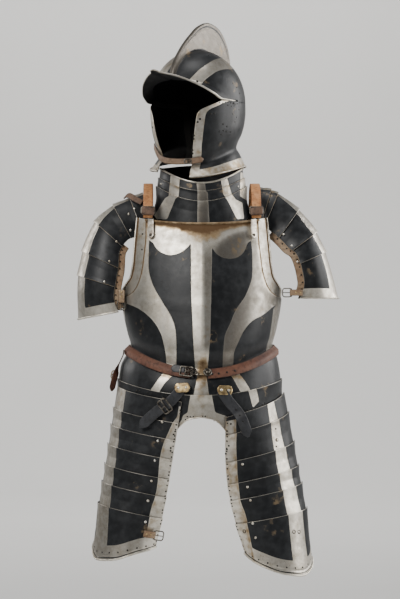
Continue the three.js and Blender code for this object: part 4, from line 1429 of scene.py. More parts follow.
    def skull_pattern(self, at: Field) -> Array:
        """Returns where the skull is bright: its comb, and a band from the comb to the peak on each side."""
        local = self.local(at.points)
        local[..., 0] = np.abs(local[..., 0])
        pixels = PHOTO.pixels(self.world(local)).reshape(-1, 2)
        band = inside_by(pixels, self.band).reshape(at.u.shape)
        far = inside_by(at.pixels.reshape(-1, 2), self.far_band).reshape(at.u.shape)
        band = np.where((at.u < -self.comb_share) & (at.v < 0.4), far, band) * PHOTO.pixel
        comb = (self.comb_share * 0.94 - np.abs(at.u)) * 200
        comb -= 40 * np.exp(-(((self._rise(at) - 0.76) / 0.03) ** 2))
        return np.maximum(np.maximum(band, comb), 3.5 - at.from_top)

    def _rise(self, at: Field) -> Array:
        """Returns how far up the comb each point lies, from its root, 0, to its edge, 1."""
        return np.clip(1 - np.abs(at.u) / self.comb_share, 0, 1)

    def skull_stain_and_shade(self, at: Field) -> Array:
        """Returns how rusty the skull is above the peak's edge, and below 0 how grey it is: the comb grey
        partly as patina and partly as painted shade, the rest of the skull less grey.
        """
        peak = 0.35 * np.exp(-np.abs(at.from_top - 20) / 22)
        # The comb's grey is partly patina and partly painted shade.
        return np.where(self._rise(at) > 0, self.comb_patina_and_shade, peak - 0.5)

    def build(self) -> None:
        """Builds the plates, the chin strap and their fittings."""
        core = (self.place[0], self.place[1], self.place[2] + 20)
        columns = tuple(np.linspace(-self.comb_share, self.comb_share, 41))
        self.plate(Plate(
            "helmet_skull", self.skull, (-1, 1), (-1, 1), core, rolls=("top",), pattern=self.skull_pattern,
            pitch=3.2, extra_columns=columns, stain=self.skull_stain_and_shade,
            hush=lambda at: np.where(np.abs(at.u) > 0.72, QUIET, 0),
            fade=lambda u: np.minimum(1, 6.4 * (1 - np.abs(u))) + 0.02,
        ))
        low = (self.place[0], self.place[1], self.place[2] - 60)
        for name, side in (("right", -1), ("left", 1)):
            self.plate(Plate(
                "helmet_cheek_" + name, self.cheek(side), (0, 1), (0, 1), low, rolls=("bottom",),
                pattern=Borders(left=19, bottom=22), pitch=3.4,
                stain=lambda at: 0.25 + 0.3 * np.exp(-at.from_bottom / 8),
                hush=lambda at: np.where((at.from_top < 6) | (at.from_right < 6), QUIET, 0), dark_side=0.1,
            ))
            # A near-black sheet in the seam between cheekpiece and nape: painted shade where the gap would be
            # dark.
            joint, _ = Plate(
                "cheek_joint_" + name,
                lambda u, v, s=side: self.side_at(v, s * mix(*self.joint, u), self.joint_inset),
                (0, 1), (0.02, 0.97), low, wall=0.7, pitch=5,
            ).build(self.palette.hole)
            self.keep(joint, Body.ARMOUR, Slot.PLATE)
        self.plate(Plate(
            "helmet_nape", self.nape, (0, 1), (-1, 1), low, rolls=("bottom",),
            pattern=Borders(bottom=22), pitch=3.4,
            dark_side=0.9, hush=lambda at: np.where(at.from_bottom > 6, QUIET, 0),
        ))
        # A near-black ring inside the ear line: painted shade in the seam between skull and cheeks.
        ring, _ = Plate(
            "skull_joint", self.ear_ring, (0, 1), (-1, 0.04), low, wall=0.7, pitch=5,
        ).build(self.palette.hole)
        self.keep(ring, Body.ARMOUR, Slot.PLATE)
        turns = np.linspace(-60, 44, 40)
        half, length = self.chin.read("half", turns), self.chin.read("length", turns)
        s, c = np.sin(np.radians(turns)), np.cos(np.radians(turns))
        line = self.world(stack(half * s, self.centre_y - length * c, self.chin.read("z", turns)))
        strap = Strap("chin_strap_leather", line, np.array([0, 0, 1.0]), 13, end_taper=5)
        self.strap(strap, self.palette.chin, Slot.BROWN, "chin_strap")
        out = unit(np.cross(unit(line[-7] - line[-11]), np.array([0, 0, 1.0])))
        buckle = Buckle("chin_buckle", line[-9] + out * 2.4, unit(line[-7] - line[-11]), out, 17, 12, 1.2)
        self.keep(buckle.build(self.palette.iron), Body.ARMOUR, Slot.IRON)
        self._pierce()

    def _pierce(self) -> None:
        """Adds the lining holes, the ear holes and the pairs along the cheekpiece."""
        lining = (
            (219.5, 102.6), (222.5, 103.2), (225.5, 102.3), (228.2, 102.0), (230.7, 102.7), (233.0, 103.6),
            (235.2, 104.3), (237.7, 103.6), (239.3, 102.7), (228.0, 105.2), (231.4, 106.1), (234.1, 105.9),
            (232.7, 83.2), (236.6, 87.7), (239.5, 93.4), (230.5, 78.6), (225.6, 82.7), (213.8, 92.7),
            (208.6, 55.4),
            (232.7, 113.9), (236.6, 117.3), (235.0, 121.8), (239.0, 109.6),
        )
        ear = (
            (223.2, 124.1), (227.0, 126.4), (219.5, 131.4), (223.6, 130.5), (226.4, 131.4),
            (221.4, 134.3), (230.5, 132),
        )
        pairs = (
            (210.8, 113.9), (214.4, 113.5), (200, 119), (197.6, 122), (193.8, 135.4), (193.6, 138.8),
            (192.4, 150.3), (192.5, 153.4), (152.6, 127.3), (233.9, 103.2), (197.1, 81.4),
        )
        seats = [self.outside.seen_at(pixel, "helmet", 0.72) for pixel in lining]
        seats += [self.outside.seen_at(pixel, "helmet", 0.9) for pixel in ear]
        seats += [self.outside.seen_at(pixel, "helmet", 1.15) for pixel in pairs]
        self.fittings("helmet_holes", HOLE, seats, self.palette.hole)


@dataclass
class Gorget(Assembly):
    """The collar: two rings round the neck over a front and a back plate."""

    rings: Table = Table(
        ("front", "side", "rear", "half", "depth", "back", "climb"),
        (
            (46, 81, 92, 90.5, 88, 86, 2), (25, 58, 72, 93, 90, 87, 2), (3, 40, 54, 97.5, 94, 90, 2),
            (-22, 10, 28, 100, 98, 94, 2), (-58, -17, 2, 108, 101, 94.7, 5),
        ),
    )
    bands: tuple[tuple[Pixel, ...], ...] = (
        ((195.5, 172), (204.5, 172), (205.5, 191.8), (207.6, 192), (209.5, 224), (197.3, 224), (197.5, 192)),
        (
            (171, 172), (180, 172), (178.7, 196), (175.4, 198.7), (167, 219), (152.3, 219),
            (164.6, 198.7), (168.7, 196),
        ),
        (
            (219.5, 172), (225.5, 172), (231.6, 194), (235.6, 199.4), (242.3, 202.7), (244, 219),
            (237, 219), (228.9, 202.7), (226.9, 199.4), (223.6, 194),
        ),
        ((240.5, 172), (251, 176), (247.5, 201), (240, 196)),
    )

    def at(self, row: Array, degrees: Array) -> Array:
        """Returns points of the collar, from its rim, row 0, to its foot, row 1."""
        s, c = np.sin(np.radians(degrees)), np.cos(np.radians(degrees))
        level = np.where(c >= 0, self.rings.read("front", row), self.rings.read("rear", row))
        depth = np.where(c >= 0, self.rings.read("depth", row), self.rings.read("back", row))
        z = level + (self.rings.read("side", row) - level) * np.abs(s) ** self.rings.read("climb", row)
        return stack(self.rings.read("half", row) * s, -depth * c, z)

    @staticmethod
    def stain(at: Field) -> Array:
        """Returns how rusty the collar is under its rim, and below 0 how grey the band in the middle is."""
        middle = np.where(at.points[..., 1] < 0, 0.75 * np.exp(-(((at.points[..., 0] - 2) / 16) ** 4)), 0)
        return 0.3 * np.exp(-at.from_top / 10) - middle

    def build(self) -> None:
        """Builds the four plates and their rivets."""
        core = (0, 0, 30)
        pattern, stain = Seen(self.bands), self.stain
        self.plate(Plate(
            "collar_upper", lambda u, v: self.at(v, 360 * u), (0, 1), (0, 0.3), core, rolls=("top",),
            pattern=pattern, closed=True, stain=stain, pitch=3.4,
        ))
        self.plate(Plate(
            "collar_lower", lambda u, v: self.at(v, 360 * u), (0, 1), (0.23, 0.56), core, closed=True,
            stations=((0.23, FLARE), (0.3, NEST), (0.5, 0), (0.56, 0)),
            pattern=pattern, stain=stain, pitch=3.4,
        ))
        stations = ((0.49, FLARE), (0.56, NEST + 0.3), (0.72, 0.4), (0.86, 0.4), (1, 0.4))
        for name, first, last in (("front", -93, 93), ("back", 94, 266)):
            self.plate(Plate(
                "gorget_" + name, lambda u, v, a=first, b=last: self.at(v, mix(a, b, u)),
                (0, 1), (0.49, 1), core,
                stations=stations, pattern=pattern, stain=stain, pitch=3.4,
            ))
        rivets = ((161, 184), (155.6, 195), (238.3, 186.6))
        seats = [self.outside.seen_at(pixel, "collar", 0.8) for pixel in rivets]
        self.fittings("collar_rivets", RIVET, seats, self.palette.stud)


@dataclass(frozen=True)
class Torso:
    """The surface of the breast and the back."""

    keel_spread: float = 30
    sections: Table = Table(
        ("front", "side", "rear", "half", "depth", "back", "ridge", "gusset", "armhole", "rear_edge"),
        (
            (-43, -27, 6, 160, 110, 100, 4, 49, 64, 60),
            (-66, -55, -25, 165, 118, 107, 6, 47, 62.5, 59),
            (-92, -82, -60, 169, 128, 113, 8, 46, 61.5, 58),
            (-135, -120, -100, 174, 139, 118, 10, 46.5, 60.5, 58),
            (-172, -152, -140, 176, 147, 118, 11, 49, 63, 61),
            (-200, -176, -170, 177, 152, 115, 11, 54, 74, 69),
            (-222, -193, -190, 177, 156, 112, 12, 64, 90, 78),
            (-242, -209, -208, 176, 159, 108, 12, 86, 97, 82),
            (-275, -238, -240, 172, 164, 103, 12, 97, 97, 87),
            (-315, -280, -285, 163, 168, 94, 11, 97, 97, 90),
            (-353, -306, -314, 156, 150, 88, 6, 97, 97, 90),
            (-368, -319, -327, 166, 158, 98, 5, 97, 97, 90),
        ),
    )

    def at(self, row: Array, degrees: Array, inset: Array | float = 0) -> Array:
        """Works out the torso.

        Args:
            row: From the neckline, 0, to the waist flange, 1.
            degrees: Round from the front, positive to the wearer's left.
            inset: How far inside the surface.

        Returns:
            Points of the surface.
        """
        s, c = np.sin(np.radians(degrees)), np.cos(np.radians(degrees))
        ahead = c >= 0
        half = self.sections.read("half", row) - inset
        depth = np.where(ahead, self.sections.read("depth", row), self.sections.read("back", row)) - inset
        from_ridge = np.abs((degrees + 180) % 360 - 180)
        keel = self.sections.read("ridge", row) * np.clip(1 - from_ridge / self.keel_spread, 0, 1) ** 1.5
        level = np.where(ahead, self.sections.read("front", row), self.sections.read("rear", row))
        z = level + (self.sections.read("side", row) - level) * s * s
        return stack(half * power(s, 0.95), -depth * power(c, 0.92) - keel, z)


@dataclass
class Cuirass(Assembly):
    """The breastplate, the backplate and the movable gussets at the armholes."""

    torso: Torso = Torso()
    underarm_row: float = 7 / 11
    gusset_lap: float = 4
    gusset_tuck: float = TUCK + 0.12
    back_waist_tuck: float = TUCK + 2.4
    black_panels: tuple[tuple[Pixel, ...], ...] = (
        (
            *through(
                (149.1, 239.9), (153.1, 243.1), (156.7, 248.7), (163.3, 253.4), (172.1, 255.0),
                (180.9, 252.3), (186.8, 247.9), (190.9, 243.1),
            ),
            (191.2, 292.7), (193.1, 336.7), (194.9, 366), (195.5, 385), (176.3, 385), (176.3, 366),
            *through(
                (176.5, 345.5), (175.5, 330.8), (173.6, 322), (167.7, 310.3), (160.4, 298.6),
                (153.1, 285.3), (148.9, 271), (148.5, 256),
            ),
        ),
        (
            *through(
                (212.0, 247.2), (214.7, 251.6), (220.6, 256.7), (230.1, 258.7), (238.2, 256.7),
                (244, 251.6), (247.7, 243.5), (251.4, 240.2),
            ),
            *through(
                (252.5, 256), (252.5, 272.1), (251.4, 280.9), (245.5, 295.6), (236.7, 308.8),
                (230.8, 322), (225.7, 333.8), (223.8, 345.5), (222.8, 361.6), (222.5, 385),
            ),
            (207.2, 385), (207.8, 366), (210.3, 336.7), (211.2, 292.7),
        ),
        (
            *through(
                (126.5, 304.1), (128.4, 304.1), (141.3, 310.3), (153.1, 320.6), (160.4, 332.3),
                (164.1, 345.5), (166.3, 360.2), (166.8, 385),
            ),
            (137, 385), (135.5, 360), *through((132.0, 347), (128.4, 337), (125.4, 324), (124.6, 312)),
        ),
        (
            *through(
                (277, 304.5), (274.1, 305.9), (263.1, 314.7), (252.8, 320.6), (244, 330.8),
                (238.2, 342.6), (234.5, 351.4), (233.5, 360.2), (233, 385),
            ),
            (264, 385), *through((265, 360), (267.0, 346), (269.6, 336.7), (271.8, 322), (273.4, 309)),
        ),
    )

    def breast(self, u: Array, v: Array) -> Array:
        """Returns points of the breastplate."""
        return self.torso.at(v, mix(-1, 1, u) * self.torso.sections.read("gusset", v))

    def back(self, u: Array, v: Array) -> Array:
        """Returns points of the backplate."""
        inset = np.interp(v, [9 / 11, 10 / 11], [TUCK, self.back_waist_tuck])
        return self.torso.at(v, 180 + mix(-1, 1, u) * self.torso.sections.read("rear_edge", v), inset)

    def gusset(self, side: int) -> Callable[[Array, Array], Array]:
        """Returns the surface of one gusset."""
        def surface(u: Array, v: Array) -> Array:
            """Returns points of the gusset."""
            inner = self.torso.sections.read("gusset", v) - self.gusset_lap
            outer = self.torso.sections.read("armhole", v)
            return self.torso.at(v, side * mix(inner, outer, u), self.gusset_tuck)
        return surface

    @staticmethod
    def breast_stain_and_shade(at: Field) -> Array:
        """Returns how rusty the breastplate is, with a painted shadow line along its side edges, and below 0
        the grey of painted shade on the facet left of its ridge, on its left lobe and on its far right flank.
        """
        x, z = at.points[..., 0], at.points[..., 2]
        neck = 1.8 * np.exp(-(at.from_top / (11 + 20 * np.exp(-((x - 2) / 46) ** 2))) ** 1.6)
        foot = 0.85 * np.exp(-(((z + 350) / 24) ** 2)) * np.exp(-((x / 12) ** 2))
        corner = 0.9 * np.exp(-(((np.abs(x) - 116) / 14) ** 2) - (at.from_top / 26) ** 2)
        # Painted shade: grey on the facet left of the ridge, on the left lobe and on the far right flank,
        # where less light falls.
        painted_facet_shade = -0.5 * smoothstep(x, 1, 5) - 0.2 * smoothstep(x, 20, 40) * (1 - smoothstep(x, 75, 110))
        painted_facet_shade -= 0.3 * smoothstep(-x, 100, 125)
        # Painted shadow: a dark line along the side edges, at the seam over the gussets.
        border = 1.8 * np.exp(-np.minimum(at.from_left, at.from_right) / 2.4)
        rusty = np.max([neck, foot, corner, border], axis=0)
        return np.where(rusty > 0.2, rusty, mix(painted_facet_shade, rusty, rusty / 0.2))

    def build(self) -> None:
        """Builds the plates and their holes."""
        core = (0, 0, -180)
        self.plate(Plate(
            "breastplate", self.breast, (0, 1), (0, 1), core, rolls=("top",), roll_radius=2.7,
            pattern=Seen(self.black_panels, black=True), stain=self.breast_stain_and_shade, pitch=2.9,
            hush=lambda at: np.where(np.minimum(at.from_left, at.from_right) < 6, QUIET, 0),
        ))
        self.plate(Plate(
            "backplate", self.back, (0, 1), (0, 1), core, rolls=("top",),
            pattern=either(Borders(left=16, right=16, top=18), self.back_band),
            stain=lambda at: 0.3 * np.exp(-at.from_top / 12), pitch=4,
        ))
        for name, side in (("right", -1), ("left", 1)):
            self.plate(Plate(
                "gusset_" + name, self.gusset(side), (0, 1), (0, self.underarm_row), core, rolls=("right",),
                pattern=all_bright, stain=self.gusset_stain, pitch=3,
                extra_columns=(0.83, 0.85, 0.87, 0.89, 0.91, 0.93),
            ))
        holes = ((146.9, 235.8), (254.0, 237.7), (142.5, 234.0), (142.0, 249.5))
        seats = [self.outside.seen_at(p, "gusset", 1.0) for p in holes[:1] + holes[2:]]
        seats += [self.outside.seen_at(holes[1], "", 1.2)]
        self.fittings("breast_holes", HOLE, seats, self.palette.hole)

    @staticmethod
    def back_band(at: Field) -> Array:
        """Returns how far each point lies inside the band down the middle of the back."""
        return 11 - np.abs(at.points[..., 0])

    @staticmethod
    def gusset_stain(at: Field) -> Array:
        """Returns how rusty a gusset is in the angle beside its turned edge, with painted shade at its foot
        where it curves out at the armpit.
        """
        groove = 1.9 * np.exp(-(((at.from_right - 5.8) / 2.2) ** 2))
        # Painted shade at the foot, where the gusset curves out at the armpit.
        foot = 0.8 * np.exp(-at.from_bottom / 20)
        return np.maximum(np.maximum(groove, foot), 0.15)


@dataclass(frozen=True)
class Skirt:
    """The surface of the skirt under the waist flange."""

    keel: float = 5
    keel_spread: float = 30
    aside: float = -4
    sections: Table = Table(
        ("front", "side", "half", "depth"),
        (
            (-369, -321, 161, 154), (-390, -350, 173, 161), (-411, -382, 178, 164),
            (-440, -410, 181, 164.5), (-508, -446, 184, 164),
        ),
    )

    def at(self, row: Array, degrees: Array) -> Array:
        """Returns points of the skirt, from the flange, row 0, to its lowest hem, row 1."""
        s, c = np.sin(np.radians(degrees)), np.cos(np.radians(degrees))
        level = self.sections.read("front", row)
        z = level + (self.sections.read("side", row) - level) * s * s
        keel = self.keel * np.clip(1 - np.abs(degrees) / self.keel_spread, 0, 1) ** 1.5
        x = self.aside * smoothstep(row, 0, 0.3) + self.sections.read("half", row) * power(s, 0.95)
        return stack(x, -self.sections.read("depth", row) * power(c, 0.92) - keel, z)


@dataclass(frozen=True)
class Front:
    """The front of the armour as a cloud of points, which says how deep a place seen from the front lies."""

    points: Array
    near: float = 7

    def seat(self, x: float, z: float, off: float) -> Array:
        """Returns the place at x and z that stands off the foremost surface there."""
        close = np.hypot(self.points[:, 0] - x, self.points[:, 2] - z) < self.near
        return np.array([x, self.points[close, 1].min() - off, z])


@dataclass
class Waist(Assembly):
    """The belt and the two plates of the skirt under it."""

    torso: Torso = Torso()
    skirt: Skirt = Skirt()
    belt_top: float = 10 / 11 + 0.014
    belt_turn: tuple[float, float] = (3, 351.5)
    belt_thick: float = 2.6
    belt_stand_off: float = 3.8
    belt_hang: float = 8
    buckle_turn: float = -11
    tip_pixels: tuple[Pixel, ...] = ((185, 369.6), (179, 369.2), (171.5, 368.4))
    tuck_inset: float = 4
    seam: float = 0.5
    lap: float = 0.14
    hem: Table = Table(
        ("angle", "z"),
        ((0, -473), (8, -477), (14, -488), (19, -502), (25, -508), (45, -490), (70, -455), (97, -436)),
        "angle",
    )
    upper_bands: tuple[tuple[Pixel, ...], ...] = (
        ((197.8, 364), (206.3, 364), (206.3, 376), (209.6, 400), (192.4, 400), (197.4, 376)),
        (
            (164.8, 371), (178, 371), *through((170.5, 377.3), (164.5, 383.6), (158.6, 393)),
            (148.6, 393), (156.8, 381),
        ),
        (
            (226, 368), (235.8, 368), *through((239.8, 374.3), (246.0, 382.6), (252, 393)),
            (241.8, 394), (234.3, 380.2),
        ),
    )
    lower_bands: tuple[tuple[Pixel, ...], ...] = (
        (
            (190.7, 393), (211.3, 393), (215.2, 412.6), (229, 417), (226, 440), (176, 440),
            (183, 415.5), (187.6, 412.6),
        ),
        ((246.8, 384), (254.3, 384), (256.8, 390.6), (259.1, 401), (253.0, 408), (250.4, 398)),
    )

    def fauld_upper(self, u: Array, v: Array) -> Array:
        """Returns points of the upper plate, whose top runs up inside the breastplate's flange."""
        degrees = mix(-1, 1, u) * np.interp(v, [-1, 0, 0.25], [82, 87, 97])
        tucked = self.torso.at(np.full_like(v, mix(1, 10 / 11, 0.4)), degrees, self.tuck_inset)
        return mix(self.skirt.at(np.maximum(v, 0), degrees), tucked, np.maximum(0, -v)[..., None])

    def fauld_lower(self, u: Array, v: Array) -> Array:
        """Returns points of the lower plate, whose hem is an arch."""
        degrees = mix(-97, 97, u)
        start = self.seam + self.lap / 2
        top = self.skirt.at(np.full_like(u, start), degrees)[..., 2]
        foot = self.skirt.at(np.ones_like(u), degrees)[..., 2]
        reach = (top - self.hem.read("z", np.abs(degrees))) / (top - foot)
        below = mix(start, mix(start, 1, reach), (v - self.lap) / (1 - self.lap))
        return self.skirt.at(np.where(v <= self.lap, self.seam + v / 2, below), degrees)

    def belt(self, u: Array, v: Array) -> Array:
        """Returns points of the belt, whose lower edge hangs straight down from the flange."""
        points = self.torso.at(mix(self.belt_top, 1, np.minimum(1, v)), mix(*self.belt_turn, u))
        points[..., 2] -= self.belt_hang * np.maximum(0, v - 1)
        return points

    def build(self) -> None:
        """Builds the belt, its buckle and the skirt."""
        core = (0, 0, -400)
        self.plate(Plate(
            "fauld_upper", self.fauld_upper, (0, 1), (-1, 0.57), core,
            pattern=Seen(self.upper_bands), pitch=3.2,
            stations=((-1, 0), (0.57, 0)), stain=self.upper_stain,
        ))
        self.plate(Plate(
            "fauld_lower", self.fauld_lower, (0, 1), (0, 1), core, rolls=("bottom",), roll_radius=1.5,
            stations=((0, FLARE), (self.lap, NEST), (0.5, 0), (1, 0)),
            pattern=either(Seen(self.lower_bands), self.hem_border), pitch=3.0, stain=self.lower_stain,
        ))
        belt = self.plate(
            Plate(
                "belt", self.belt, (0, 1), (0, 2), core,
                stations=((0, self.belt_stand_off), (1, self.belt_stand_off), (2, self.belt_stand_off)),
                wall=self.belt_thick, pitch=4,
            ),
            self.palette.brown, Slot.BROWN,
        )
        self._belt_buckle()
        self._holes(belt)

    @staticmethod
    def hem_border(at: Field) -> Array:
        """Returns how far each point lies inside the border along the arch in the middle of the hem."""
        return np.where(np.abs(at.points[..., 0]) < 75, 9.5 - at.from_bottom, NEVER)

    @staticmethod
    def upper_stain(at: Field) -> Array:
        """Returns how rusty the upper plate is: under the belt and in its middle."""
        under_belt = 0.55 * np.exp(-(((at.points[..., 2] + 372) / 9) ** 2))
        middle = 0.35 * np.exp(-((at.points[..., 0] / 16) ** 2))
        return under_belt + middle

    @staticmethod
    def lower_stain(at: Field) -> Array:
        """Returns how rusty the lower plate is: beside its ridge and along its hem."""
        x = at.points[..., 0]
        return 0.5 * np.exp(-(((x + 4) / 10) ** 2) - at.from_top / 30) + 0.5 * np.exp(-at.from_bottom / 5)

    def _belt_buckle(self) -> None:
        """Builds the buckle on the belt, with its loops and pin, and the stud beside it."""
        low, high = self.torso.at(np.array([1, 10 / 11]), np.full(2, self.buckle_turn))
        low[2] -= self.belt_hang
        up = unit(high - low)
        ends = self.torso.at(np.ones(2), np.array([self.buckle_turn - 3, self.buckle_turn + 3]))
        along = unit(ends[1] - ends[0])
        out = unit(np.cross(along, up))
        middle = (low + high) / 2 + out * (2 * self.belt_thick + 2.9)
        buckle = Buckle("belt_buckle_frame", middle, along, out, 31, 23, 1.7, bar_at=-0.15)
        self.keep(buckle.build(self.palette.iron), Body.ARMOUR, Slot.IRON, "belt_buckle")
        hook = [
            (-3, -8, 1.5), (3, -6, 4), (10, 3, 4.4), (17, 6, 3.2), (23, 0, 2.4), (17, -6, 2.8),
            (10, -3, 4), (3, 6, 3.4),
        ]
        line = spline([middle + along * x + up * y + out * (z - 1) for x, y, z in hook], 40)
        points, faces = tube(line, 1.9, closed=False)
        self.keep(mesh_piece("belt_hook", points, faces, self.palette.dark_iron), Body.ARMOUR, Slot.IRON)
        places = [self.outside.seen_at(pixel, "belt") for pixel in self.tip_pixels]
        line = spline([seat.place + seat.facing * 1.7 for seat in places], 16)
        tip = Strap("belt_tip", line, up, 17, end_taper=6)
        self.strap(tip, self.palette.black, Slot.BLACK)
        stud = self.outside.seen_at((203.3, 372.4), "belt", 2.1)
        self.fittings("belt_stud", WASHER, [stud], self.palette.iron, Slot.IRON)
        self.fittings("belt_stud_head", RIVET, [stud], self.palette.iron, Slot.IRON)

    def _holes(self, belt: Skin) -> None:
        """Adds the lacing holes of the hem and the punched holes of the belt."""
        hem = (
            (187.4, 416.6), (190.4, 416.8), (193.4, 416.6), (202.6, 416.4), (205.2, 416.4),
            (214.2, 420.7), (217.4, 422.2), (185.6, 419.8),
        )
        seats = [self.outside.seen_at(pixel, "fauld_lower", 0.75) for pixel in hem]
        self.fittings("hem_holes", HOLE, seats, self.palette.hole)
        row = belt.points.shape[0] // 2
        for_belt = []
        for share in (0.012, 0.028, 0.044, 0.06):
            column = round(share * (belt.points.shape[1] - 1))
            place, facing = belt.points[row, column], belt.facing[row, column]
            for_belt.append(Seat(place, facing, np.array([1.0, 0, 0]), 1.1))
        self.fittings("belt_holes", HOLE, for_belt, self.palette.hole, Slot.BROWN)


@dataclass(frozen=True)
class Tasset:
    """One leg defence: its sizes and its surface."""

    name: str
    side: int
    turn: tuple[float, float]
    top: tuple[float, float]
    top_z: tuple[float, float]
    thigh: Point
    radius: float
    tilt: float
    wrap: tuple[float, float]
    length: float
    edges: tuple[float, ...]
    bulge: float
    rim: Table
    inner: Table
    band: tuple[tuple[float, float], tuple[float, float]]

    def at(self, share: Array, t: Array) -> Array:
        """Works out the surface.

        Args:
            share: From the top edge, 0, to the thigh ring, 1.
            t: From the inner edge, 0, to the outer one, 1.

        Returns:
            Points in the armour's frame.
        """
        tilt, top, ring = (np.radians(a) for a in (self.tilt, mix(*self.turn, t), mix(*self.wrap, t)))
        reach = self.radius * np.sin(ring)
        top_x = self.top[0] * power(np.sin(top), 0.95)
        top_y = -self.top[1] * power(np.cos(top), 0.92)
        low_y = self.thigh[1] - self.radius * np.cos(ring)
        last = self.edges[-2]
        drop = np.maximum(0, (share - last) / (1 - last)) * self.rim.read("drop", t)
        inside = np.clip(share, 0, 1)
        swell = self.bulge * (1 - t) ** 2 * np.sin(math.pi * inside)
        x = mix(top_x, self.thigh[0] + np.cos(tilt) * reach, share) - swell
        z = mix(mix(*self.top_z, t), self.thigh[2] + np.sin(tilt) * reach, share) - drop
        return stack(self.side * x, mix(top_y, low_y, inside**1.55), z)


TASSETS = (
    Tasset(
        "right", -1, (13, 79), (187, 172.5), (-425, -396), (161, -80, -738), 77, 11.5, (-54, 108), 335,
        (0, 0.139, 0.25, 0.377, 0.507, 0.624, 0.765, 1), 2,
        Table(("at", "drop"), ((0, -12), (0.25, 8), (0.5, 33), (0.72, 41), (0.89, 23), (1, 10)), "at"),
        Table(
            ("at", "t"),
            ((0.1, 0.02), (0.14, 0.055), (0.38, 0.14), (0.575, 0.125), (0.77, 0.16), (1, 0.16)),
            "at",
        ),
        ((0.731, 0.564), (0.994, 0.813)),
    ),
    Tasset(
        "left", 1, (14.5, 80), (183, 171.4), (-458, -410), (162, -80, -740), 77.5, 9.5, (-68, 96), 320,
        (0, 0.13, 0.33, 0.49, 0.61, 0.78, 1), 17,
        Table(("at", "drop"), ((0, 2), (0.25, 32), (0.5, 58), (0.7, 68), (0.85, 60), (1, 40)), "at"),
        Table(("at", "t"), ((0, 0.11), (0.43, 0.12), (0.6, 0.12), (0.74, 0.15), (1, 0.163)), "at"),
        ((0.522, 0.581), (0.641, 0.794)),
    ),
)


